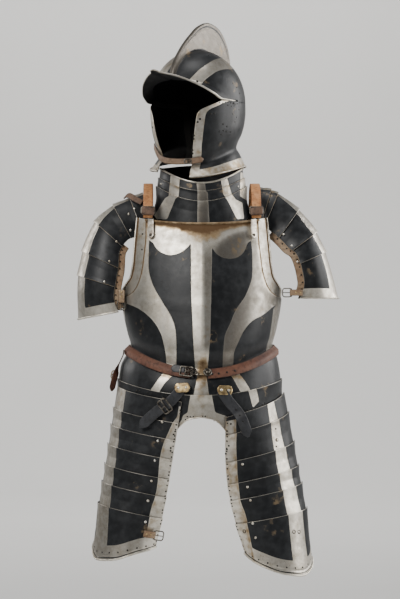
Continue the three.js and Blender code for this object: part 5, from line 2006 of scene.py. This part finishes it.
@dataclass
class LegDefences(Assembly):
    """The two tassets, each of lames that lap upwards, with their rivets and holes."""

    designs: tuple[Tasset, ...] = TASSETS
    hem_border: float = 33
    groove: float = 6.5
    groove_depth: float = 0.7
    hole_inset: float = 4
    hole_pitch: float = 8
    hem_holes: float = 10

    @staticmethod
    def _inner(design: Tasset, at: Field) -> Array:
        """Returns how far each point lies inside the inner border, in millimetres."""
        return (design.inner.read("t", at.v) - at.u) * (at.from_left + at.from_right)

    def _pattern(self, design: Tasset, last: bool) -> Pattern:
        """Returns where a lame is bright: its inner border, its band and the last one's border."""
        def bright(at: Field) -> Array:
            """Returns how far each point lies inside what is bright, in millimetres."""
            wide = at.from_left + at.from_right
            first, second = (mix(*ends, at.v) for ends in design.band)
            band = (np.minimum(at.u - first, second - at.u)) * wide
            inner = np.where(at.v < 0.03, NEVER, self._inner(design, at))
            shown = np.maximum(band, inner)
            if not last:
                return shown
            line = 60 * np.exp(-(((at.from_bottom - self.groove) / 1.2) ** 2))
            return np.maximum(shown, self.hem_border - at.from_bottom) - line
        return bright

    def _stain(self, design: Tasset) -> Callable[[Field], Array]:
        """Returns how rusty a lame is: over its inner border."""
        def rusty(at: Field) -> Array:
            """Returns the rust, more towards the inner border's far side."""
            inner = self._inner(design, at)
            shade = 0.3 * np.exp(-((inner / 5) ** 2))
            return 0.5 * smoothstep(inner, -3, 3) + shade - (0.2 if design.side > 0 else 0.4)
        return rusty

    def build(self) -> None:
        """Builds the lames and their fittings."""
        seats: list[Seat] = []
        for design in self.designs:
            extra = OVERLAP / design.length
            for i, (start, end) in enumerate(zip(design.edges, design.edges[1:])):
                last = i == len(design.edges) - 2
                until = end if last else end + extra
                first_off, second_off = (0.0, 0.0) if i == 0 else (FLARE, NEST)
                flat_from = mix(start, end, 0.55)
                stations = ((start, first_off), (start + extra, second_off), (flat_from, 0), (until, 0))
                if last:
                    reach, half = self.groove / design.length, 1.6 / design.length
                    cut = ((1 - reach - half, 0), (1 - reach, -self.groove_depth), (1 - reach + half, 0))
                    stations = (*stations[:3], *cut, stations[3])
                skin = self.plate(Plate(
                    f"tasset_{design.name}_{i + 1}", lambda u, v, d=design: d.at(v, u),
                    (0, 1), (start, until), (design.side * 110, 0, -600),
                    stations=stations, rolls=("bottom",) if last else (),
                    pattern=self._pattern(design, last), stain=self._stain(design), pitch=3.4,
                ))
                if i > 0 or design.side > 0:
                    seats += self._punched(skin, last)
        self.fittings("tasset_edge_holes", HOLE, seats, self.palette.hole)
        self._rivets()
        self._holes()

    def _punched(self, skin: Skin, last: bool) -> list[Seat]:
        """Returns the seats of a lame's holes: pairs down its inner border, and a row over its last edge."""
        seats = []
        down = np.linalg.norm(np.diff(skin.points[:, 0], axis=0), axis=1).cumsum()
        over = np.linalg.norm(np.diff(skin.points[-1], axis=0), axis=1).cumsum()
        column = int(np.searchsorted(over, self.hole_inset))
        for i in range(int(down[-1] / self.hole_pitch)):
            if i % 3 < 2:
                seats.append((int(np.searchsorted(down, (i + 0.8) * self.hole_pitch)), column))
        if last:
            row = int(np.searchsorted(down, down[-1] - self.hem_holes))
            seats += [(row, int(np.searchsorted(over, reach))) for reach in np.arange(14, over[-1] - 10, 21)]
        up = np.array([0, 0, 1.0])
        return [Seat(skin.points[place], skin.facing[place], up, 0.85) for place in seats]

    def _rivets(self) -> None:
        """Adds the bright rivets that hold the leathers inside, and the washers at the foot."""
        heads = (
            (162, 422), (157.7, 440.9), (154.8, 460.5), (151.4, 481), (147.9, 500.7), (145.3, 522),
            (242.5, 464.3), (247.4, 487), (250.4, 500.3), (252.7, 523.3), (255.5, 537.7), (277, 440),
        )
        seats = [self.outside.seen_at(pixel, "tasset", 1.15) for pixel in heads]
        self.fittings("tasset_rivets", RIVET, seats, self.palette.stud)
        rings = ((294, 531.7), (299, 531.7), (244.3, 531.4), (277, 440))
        seats = [self.outside.seen_at(pixel, "tasset", 1.0) for pixel in rings]
        self.fittings("tasset_washers", WASHER, seats, self.palette.iron)

    def _holes(self) -> None:
        """Adds the lacing holes in pairs along the top lames, and rows of holes along the borders."""
        pairs = (
            (136.6, 390.8), (139.4, 391.2), (147.6, 392.6), (151.2, 393.4), (163.4, 394.6), (166.8, 396.2),
            (162.4, 397.4), (248.2, 410.4), (252.4, 408.6), (262.6, 404.6), (265.0, 403.0),
            (180.6, 410.2), (180.3, 413.8), (175.2, 431.4), (173.6, 434.4), (170.8, 448.0), (170.6, 450.8),
            (227.6, 419.4), (230.8, 424.0), (228.8, 445.8), (227.0, 449.6), (225.8, 453.8), (155.9, 455.4),
            (275.8, 428.8), (276.3, 446.4), (245.9, 432.8),
        )
        seats = [self.outside.seen_at(pixel, "tasset", 0.95) for pixel in pairs]
        self.fittings("tasset_holes", HOLE, seats, self.palette.hole)


@dataclass(frozen=True)
class Spaudler:
    """One shoulder defence: the outline of its crest, seen from the front, and its sections."""

    name: str
    side: int
    start: tuple[float, float]
    lames: tuple[tuple[float, float], ...]
    droop: tuple[float, ...]
    deep: tuple[float, ...]
    wide: tuple[float, ...]
    leather: tuple[float, float]
    middle_y: float = 2
    front: float = 101
    rear: float = 97
    count: int = 160

    @property
    def total(self) -> float:
        """Returns the length of all the lames along the crest."""
        return sum(length for length, _ in self.lames)

    def _crest(self) -> tuple[Array, Array, Array, Array]:
        """Returns distances along the crest, with how far out, how high and how steep it is there."""
        lengths = np.array([length for length, _ in self.lames], float)
        slopes = [slope for _, slope in self.lames]
        knots = np.cumsum(lengths) - lengths / 2
        step = (self.total + 2 * OVERLAP) / self.count
        at = np.arange(self.count + 1) * step
        slope = np.radians(hermite(knots, slopes, at))
        out = self.start[0] + np.concatenate([[0], np.cumsum(step * np.cos(slope[:-1]))])
        up = self.start[1] - np.concatenate([[0], np.cumsum(step * np.sin(slope[:-1]))])
        return at, out, up, slope

    def at(self, distance: Array, degrees: Array) -> Array:
        """Works out the surface.

        Args:
            distance: Along the crest from the neck.
            degrees: Round from the crest, positive to the front.

        Returns:
            Points in the armour's frame.
        """
        grid, *columns = self._crest()
        out, up, slope = (np.interp(distance, grid, column) for column in columns)
        share = np.clip(np.asarray(distance) / self.total, 0, 1)
        places = np.linspace(0, 1, len(self.deep))
        turn = np.radians(degrees)
        inward = hermite(places, self.deep, share) * (1 - np.cos(turn))
        return stack(
            self.side * (out - np.sin(slope) * inward),
            self.middle_y - hermite(places, self.wide, share) * np.sin(turn),
            up - (np.cos(slope) + hermite(places, self.droop, share)) * inward,
        )


SPAUDLERS = (
    Spaudler(
        "right", -1, (130, 28), ((31, 22), (40, 25), (55, 43), (70, 69), (54, 80), (98, 92)),
        (0.2, 0.08, 0.2, 0.22, 0.2, -0.16), (72, 66, 62, 70, 69, 76), (49.6, 50, 60, 70, 72, 68), (112, 4),
    ),
    Spaudler(
        "left", 1, (129, 40), ((25, 14), (17, 27), (58, 38), (64, 52), (48, 67), (107, 75.5)),
        (0.3, 0.3, 0.3, 0.1, 0.05, -0.26), (56, 54, 54, 52, 56, 78), (44, 47, 60, 70, 72, 68), (70, 4),
    ),
)


@dataclass
class ShoulderDefences(Assembly):
    """The two spaudlers, each of lames that lap downwards, with the worn leathers that join them."""

    designs: tuple[Spaudler, ...] = SPAUDLERS
    crest: tuple[tuple[float, float], tuple[float, float]] = ((40, 140), (22, 41))
    per_degree: float = 1.2
    border: float = 23
    behind: float = 3.2

    def _pattern(self, last: bool) -> Pattern:
        """Returns where a lame is bright: along the crest, and the border of the last one."""
        def bright(at: Field) -> Array:
            """Returns how far each point lies inside what is bright, in millimetres."""
            crest = self._crest(at)
            return np.maximum(crest, self.border - at.from_bottom) if last else crest
        return bright

    def _crest(self, at: Field) -> Array:
        """Returns how far each point lies inside the band along the crest, which is narrow near the neck."""
        return (np.interp(at.v, *self.crest) - np.abs(at.u)) * self.per_degree

    def _stain(self, at: Field) -> Array:
        """Returns how rusty a lame is along its lower edge, and below 0 how grey its crest is."""
        return 0.35 * np.exp(-at.from_bottom / 7) - 0.42 * smoothstep(self._crest(at), -4, 4)

    def build(self) -> None:
        """Builds the lames, the leathers and the rivets."""
        for design in self.designs:
            reached = 0.0
            for i, (length, _) in enumerate(design.lames):
                start, end = reached - (OVERLAP if i else 0), reached + length
                last = i == len(design.lames) - 1
                flat = ((start, 0), (end, 0))
                flared = ((start, 0), ((start + end - OVERLAP) / 2, 0), (end - OVERLAP, NEST), (end, FLARE))
                self.plate(Plate(
                    f"spaudler_{design.name}_{i + 1}", lambda u, v, d=design: d.at(v, u),
                    (-design.rear, design.front), (start, end), (design.side * 150, 2, -100),
                    stations=flat if last else flared, rolls=("bottom",) if last else (),
                    pattern=self._pattern(last), stain=self._stain, pitch=3.4,
                ))
                reached = end
            self._leather(design)
        self._rivets()

    def _leather(self, design: Spaudler) -> None:
        """Builds the leather behind the front edges of a spaudler's lames, with its holes."""
        distances = np.linspace(design.leather[0], design.total - 12, 36)
        edge = design.at(distances, np.full(36, design.front))
        inner = design.at(distances, np.full(36, design.front + 4.0))
        line = edge + unit(inner - edge) * design.leather[1] + np.array([0, self.behind, 0])
        before = design.at(distances, np.full(36, design.front - 2.0))
        side = design.at(distances, np.full(36, design.front + 2.0)) - before
        side[:, 1] = 0
        strap = Strap(f"leather_{design.name}", line, unit(side), 22)
        self.strap(strap, self.palette.worn, Slot.TAN, f"spaudler_leather_{design.name}")
        ahead = unit(np.gradient(line, axis=0))
        out = unit(np.cross(ahead, unit(side)))
        out = np.where((out[:, 1:2] > 0), -out, out)
        seats = [Seat(line[i] + out[i] * 1.3, out[i], ahead[i], 0.9) for i in range(4, 34, 3)]
        self.fittings(f"leather_holes_{design.name}", HOLE, seats, self.palette.hole, Slot.TAN)

    def _rivets(self) -> None:
        """Adds the domed rivets near the front edges of the lames."""
        heads = (
            (130.4, 230.4), (116.6, 241.4), (109.4, 261.2), (104.4, 281.6), (128.6, 214),
            (283.4, 234.2), (291.8, 245.8), (297.4, 261.8), (134.2, 208.6),
        )
        seats = [self.outside.seen_at(pixel, "spaudler", 1.1) for pixel in heads]
        self.fittings("spaudler_rivets", RIVET, seats, self.palette.stud)


@dataclass(frozen=True)
class LooseBuckle:
    """A half buckle that isn't fastened: its frame's size, and how it hangs from its leather tab."""

    name: str
    body: Body
    bar: Point
    upright: Point
    hang: Point
    width: float
    height: float
    tab: float
    wire: float = 2.6
    reach: float = 3.2


@dataclass
class Harness(Assembly):
    """The straps, the buckles and the brass plates that hold the armour together."""

    torso: Torso = Torso()
    skirt: Skirt = Skirt()
    shoulder_x: float = 117
    shoulder_width: float = 21
    shoulder_line: tuple[tuple[float, float], ...] = (
        (82.6, -34), (82, -8), (75, 16), (52, 36), (20, 45), (-12, 45),
        (-44, 36), (-70, 18), (-86, -4), (-91, -20), (-91.4, -32),
    )
    shoulder_buckle: tuple[float, float, float] = (-93.4, -16, 82)
    tongue_x: float = 111
    tongue_heights: tuple[float, ...] = (-34, -40, -50, -62, -76)
    tongue_off: float = 3.3
    side_line: tuple[Point, ...] = (
        (-170.2, -34, -318), (-171.4, -34, -328), (-176.5, -34, -340),
        (-184, -34, -356), (-190.6, -34, -380), (-197, -34, -408),
    )
    side_twist: float = 55
    free_end: tuple[Pixel, ...] = ((142.4, 203.4), (136, 200.4), (129, 196.6), (122.4, 193.4))
    right_strap: tuple[Point, ...] = (
        (-45, -396, 5.4), (-56, -410, 8.6), (-68, -423, 9.5), (-80, -433, 10.5),
        (-97, -445, 10.5), (-114, -460, 10.5), (-134, -480, 10.5),
    )
    left_strap: tuple[Point, ...] = (
        (38, -400, 5.9), (48, -414, 8.3), (59, -429, 9.5), (72, -444, 10.5),
        (83, -462, 10.5), (90, -480, 10.5), (97, -500, 10.5),
    )
    strap_width: float = 23
    held_point: int = 3
    tasset_bar: tuple[float, float] = (-104, -709)
    tasset_ahead: tuple[float, float] = (-127, -705)
    tasset_off: float = 4.3
    brass_off: float = 10.2
    brass_lean: float = 0.04

    def build(self) -> None:
        """Builds every strap with its fittings."""
        rows, turns = np.meshgrid(np.linspace(0, 1, 81), np.linspace(-90, 90, 121), indexing="ij")
        shares, ts = np.meshgrid(np.linspace(0, 0.98, 81), np.linspace(0, 1, 81), indexing="ij")
        clouds = [self.skirt.at(rows, turns)] + [design.at(shares, ts) for design in TASSETS]
        front = Front(np.concatenate([cloud.reshape(-1, 3) for cloud in clouds]))
        breast = Front(self.torso.at(rows, turns).reshape(-1, 3))
        for name, side in (("right", -1), ("left", 1)):
            self._shoulder(name, side, breast)
        self._side_strap()
        self._tasset_straps(front)
        self._brass_plates()
        bar = front.seat(*self.tasset_bar, self.tasset_off)
        ahead = unit(bar - front.seat(*self.tasset_ahead, self.tasset_off))
        for loose in (
            LooseBuckle(
                "right_arm", Body.RIGHT_ARM, (-174.3, -70.4, -211), (1, 0, 0), (0, 0, -1), 21, 22, 24
            ),
            LooseBuckle(
                "left_arm", Body.LEFT_ARM, (194, -71.1, -193), (0, 0, -1), (-1, 0, 0), 21, 22, 24
            ),
            LooseBuckle("tasset", Body.TASSET, tuple(bar), (-0.16, 0, -0.987), tuple(ahead), 22, 24, 22),
        ):
            self._loose(loose)

    def _shoulder(self, name: str, side: int, breast: Front) -> None:
        """Builds the strap over one shoulder, its buckle, its keeper and the bright tongue below it."""
        line = spline([(side * self.shoulder_x, y, z) for y, z in self.shoulder_line], 60)
        strap = Strap(f"over_shoulder_{name}", line, np.array([1.0, 0, 0]), self.shoulder_width)
        self.strap(strap, self.palette.tan, Slot.TAN, f"shoulder_strap_{name}")
        y, z, lean = self.shoulder_buckle
        lean = math.radians(lean)
        up = np.array([0, math.cos(lean), math.sin(lean)])
        out = np.array([0, -math.sin(lean), math.cos(lean)])
        place = np.array([side * self.shoulder_x, y, z])
        buckle = Buckle(f"shoulder_frame_{name}", place, up, out, 19, 31, 1.5)
        self.keep(buckle.build(self.palette.iron), Body.ARMOUR, Slot.IRON, f"shoulder_buckle_{name}")
        across = np.array([1.0, 0, 0])
        flap = [
            place + across * x + up * (side * x * 0.12 - 1.5) + out * (3.4 - (x / 13) ** 4 * 1.6)
            for x in range(-13, 14, 2)
        ]
        keeper = Strap(f"shoulder_keeper_{name}", np.array(flap), up, 17)
        self.strap(keeper, self.palette.dark, Slot.BROWN)
        if side < 0:
            seats = [self.outside.seen_at(pixel, "spaudler_right") for pixel in self.free_end]
            line = spline([seat.place + seat.facing * 3.2 for seat in seats], 24)
            upright = unit(np.cross(seats[1].facing, line[-1] - line[0]))
            loose_end = Strap("shoulder_free_end", line, upright, 14, end_taper=7)
            self.strap(loose_end, self.palette.dark, Slot.BROWN)
        places = [
            breast.seat(side * self.tongue_x, min(level, -38), self.tongue_off)
            for level in self.tongue_heights
        ]
        for place, level in zip(places, self.tongue_heights):
            place[2] = level
        tongue = Strap(
            f"tongue_{name}", spline(places, 24), unit(np.array([1, side * 0.75, 0])), 15, 1.6,
            end_taper=7, end_width=0.9,
        )
        self.strap(tongue, self.palette.steel_strap, Slot.PLATE, f"shoulder_tongue_{name}")
        ahead = np.array([0, -1.0, 0])
        head = Seat(tongue.line[-5] + ahead * 1.6, ahead, np.array([1.0, 0, 0]), 1.35)
        self.fittings(f"tongue_stud_{name}", RIVET, [head], self.palette.iron)

    def _side_strap(self) -> None:
        """Builds the strap at the right side of the skirt, with its brass buckle."""
        line = spline(self.side_line, 40)
        turn = math.radians(self.side_twist) * smoothstep(np.linspace(0, 1, 40), 0.3, 0.65)
        facing = stack(np.sin(turn), np.cos(turn), 0)
        strap = Strap("strap_at_side", line, facing, 15, end_taper=10)
        self.strap(strap, self.palette.brown, Slot.BROWN, "side_strap")
        along = unit(line[26] - line[22])
        out = unit(np.cross(along, facing[24]))
        if out[0] > 0:
            out = -out
        buckle = Buckle("side_buckle", line[24] + out * 2.6, along, out, 19, 20, 1.4)
        self.keep(buckle.build(self.palette.brass), Body.ARMOUR, Slot.IRON)

    def _tasset_straps(self, front: Front) -> None:
        """Builds the two blue-black straps, the right one's buckle and their holes."""
        for name, points, side in (
            ("right", self.right_strap, (0.5, 0, -0.86)), ("left", self.left_strap, (0.86, 0, 0.5)),
        ):
            places = [front.seat(*point) for point in points]
            line = spline(places, 50)
            strap = Strap(f"strap_of_tasset_{name}", line, np.array(side), self.strap_width, end_taper=16)
            self.strap(strap, self.palette.black, Slot.BLACK, f"tasset_strap_{name}")
            if name == "right":
                before, seat, after = places[self.held_point - 1:self.held_point + 2]
                along = unit(after - before)
                across = unit(np.cross(along, np.array([0, -1.0, 0])))
                out = unit(np.cross(across, along))
                out = -out if out[1] > 0 else out
                buckle = Buckle("tasset_buckle_frame", seat + out * 3.2, along, out, 22, 34, 1.7)
                self.keep(buckle.build(self.palette.iron), Body.ARMOUR, Slot.IRON, "tasset_buckle_right")
                continue
            self.outside.add("strap_left", line, np.tile([0, -1.0, 0], (50, 1)))
            holes = [
                Seat(line[i] + np.array([0, -1.4, 0]), np.array([0, -1.0, 0]), np.array([1.0, 0, 0]), 0.9)
                for i in (22, 28, 34)
            ]
            self.fittings("tasset_strap_holes", HOLE, holes, self.palette.hole, Slot.BLACK)

    def _brass_plates(self) -> None:
        """Builds the two small brass plates over the straps' upper ends, each with two rivets."""
        for name, side, pixel, lean in (("right", -1, (183.2, 388.4), 3), ("left", 1, (223.6, 390.6), -4)):
            seat = self.outside.seen_at(pixel, "fauld_upper")
            along = unit(np.cross(seat.facing, np.array([0, 0, 1.0])))
            along = along if along[0] > 0 else -along
            up = unit(np.cross(along, seat.facing))
            up = up if up[2] > 0 else -up
            along = unit(along + up * math.tan(math.radians(lean)))
            along = unit(along + seat.facing * side * self.brass_lean)
            middle = seat.place + seat.facing * self.brass_off
            line = middle + np.linspace(-16.5, 16.5, 14)[:, None] * along
            plate = Strap(f"brass_plate_{name}", line, up, 20, 1.6, start_taper=5, end_taper=5)
            self.keep(plate.build(self.palette.brass), Body.ARMOUR, Slot.IRON)
            seat_line = line - seat.facing * 5.4
            under = Strap(f"brass_seat_{name}", seat_line, up, 18, 8, start_taper=5, end_taper=5)
            self.keep(under.build(self.palette.black), Body.ARMOUR, Slot.BLACK)
            heads = [
                Seat(middle + along * shift + seat.facing * 0.9, seat.facing, along, 1.2) for shift in (-8, 8)
            ]
            self.fittings(f"brass_plate_rivets_{name}", RIVET, heads, self.palette.stud, Slot.IRON)

    def _loose(self, loose: LooseBuckle) -> None:
        """Builds a half buckle: its frame with a pin on the body that swings, and its tab on the armour."""
        bar, upright, hang = (np.array(way, float) for way in (loose.bar, loose.upright, loose.hang))
        out = unit(np.cross(upright, hang))
        axis = unit(np.cross(hang, out))
        middle = bar + hang * (loose.height - loose.wire) / 2
        wire = loose.wire / 2
        frame_buckle = Buckle(
            f"frame_{loose.name}", middle, hang, out, loose.height, loose.width, wire, bar_at=-1.0, corner=5,
        )
        self.keep(frame_buckle.build(self.palette.iron), loose.body, Slot.IRON, f"buckle_{loose.name}")
        turns = np.radians(np.linspace(90, -90, 9))
        reach = loose.reach
        bend = [bar + hang * reach * math.cos(turn) + out * reach * math.sin(turn) for turn in turns]
        legs = np.linspace(-loose.tab, 0, 7)[:-1]
        line = [bar + hang * ahead + out * reach for ahead in legs] + bend
        line += [bar + hang * ahead - out * reach for ahead in legs[::-1]]
        tab = Strap(f"tab_{loose.name}", np.array(line), axis, loose.width - 7.5, 1.6)
        self.strap(tab, self.palette.worn, Slot.BROWN, f"buckle_tab_{loose.name}")
        heads = [
            Seat(bar - hang * (loose.tab * share) + side * out * (reach + 1.0), side * out, axis, 0.85)
            for share in (0.4, 0.8) for side in (-1, 1)
        ]
        self.fittings(f"tab_rivets_{loose.name}", RIVET, heads, self.palette.brass, Slot.IRON)


@dataclass(frozen=True)
class Lamp:
    """One area light: where it is, what it looks at, its width and height, its power and its colour."""

    name: str
    place: Point
    aim: Point
    size: tuple[float, float]
    power: float
    colour: Colour = (1.0, 0.98, 0.95)


@dataclass
class Studio:
    """The camera, the lights, the floor and the pale backdrop."""

    palette: Palette
    floor_level: float = -1.42
    floor_reach: float = 9.0
    backdrop_from: float = 8.2
    backdrop_curve: float = 2.2
    backdrop_top: float = 9.0
    backdrop_half: float = 11.0
    focal: float = 36 * 4600 / (599 * 2.2)
    sensor: float = 36.0
    lamps: tuple[Lamp, ...] = (
        Lamp("key", (-1.9, -2.6, 1.7), (0, 0, -0.25), (1.0, 1.3), 112, (1.0, 0.97, 0.92)),
        Lamp("fill", (3.1, -0.5, 0.5), (0, 0, -0.3), (1.2, 2.0), 70, (1.0, 0.98, 0.95)),
        Lamp("rim_left", (-2.2, 1.2, 0.9), (-0.1, 0, -0.2), (0.5, 1.8), 30),
        Lamp("rim_right", (2.3, 1.0, 0.7), (0.1, 0, -0.3), (0.5, 1.8), 50),
        Lamp("top", (0.0, -0.3, 2.4), (0, 0, 0), (1.2, 0.8), 30),
        Lamp("backdrop", (0.0, 5.6, 4.6), (0, 9.6, 0.2), (7.0, 2.0), 520),
    )

    def build(self) -> None:
        """Builds everything round the armour."""
        self._camera()
        for lamp in self.lamps:
            self._light(lamp)
        self._floor()
        world = bpy.data.worlds.new("studio")
        world.use_nodes = True
        shade = world.node_tree.nodes["Background"]
        shade.inputs["Color"].default_value = (0.62, 0.66, 0.72, 1)
        shade.inputs["Strength"].default_value = 0.19
        bpy.context.scene.world = world

    def _camera(self) -> None:
        """Places the camera where the photograph was taken from."""
        eye, ahead, _, _ = PHOTO.axes()
        data = bpy.data.cameras.new("camera")
        data.sensor_width = self.sensor
        data.lens = self.focal
        data.shift_x = -1.5 / PHOTO.height
        data.shift_y = 0.5 / PHOTO.height
        data.clip_end = 100
        data.dof.use_dof = False
        made = bpy.data.objects.new("camera", data)
        made.location = eye * MM
        made.rotation_euler = Vector(ahead).to_track_quat("-Z", "Y").to_euler()
        bpy.context.scene.collection.objects.link(made)
        bpy.context.scene.camera = made

    def _light(self, lamp: Lamp) -> None:
        """Adds one area light."""
        data = bpy.data.lights.new(lamp.name, "AREA")
        data.shape = "RECTANGLE"
        data.size, data.size_y = lamp.size
        data.energy = lamp.power
        data.color = lamp.colour
        made = bpy.data.objects.new(lamp.name, data)
        made.location = lamp.place
        made.rotation_euler = (Vector(lamp.aim) - Vector(lamp.place)).to_track_quat("-Z", "Y").to_euler()
        bpy.context.scene.collection.objects.link(made)

    def _floor(self) -> None:
        """Builds a pale floor that curves up into a backdrop."""
        finish = PlainFinish("pale_paper", (0.70, 0.70, 0.69), (0.74, 0.74, 0.73), 1.5).build()
        profile = [(-self.floor_reach, 0.0)]
        for turn in np.radians(np.linspace(0, 90, 17)):
            rise = self.backdrop_curve * (1 - math.cos(turn))
            profile.append((self.backdrop_from + self.backdrop_curve * math.sin(turn), rise))
        profile.append((self.backdrop_from + self.backdrop_curve, self.backdrop_top))
        wide = self.backdrop_half
        points = [(x, y, self.floor_level + z) for y, z in profile for x in (-wide, wide)]
        faces = [[2 * i, 2 * i + 1, 2 * i + 3, 2 * i + 2] for i in range(len(profile) - 1)]
        backdrop = mesh_piece("backdrop", np.array(points) / MM, faces, finish)


def main() -> None:
    """Builds the studio and each sub-assembly in order, and logs every piece."""
    logging.basicConfig(level=logging.INFO, format="%(message)s")
    log = logging.getLogger("scene")
    palette = Palette()
    Studio(palette).build()
    outside = Outside()
    for kind in (Gorget, Cuirass, Waist, LegDefences, ShoulderDefences, Helmet, Harness):
        made = kind(palette, outside)
        made.build()
        made.report(log)


if __name__ == "__main__":
    main()
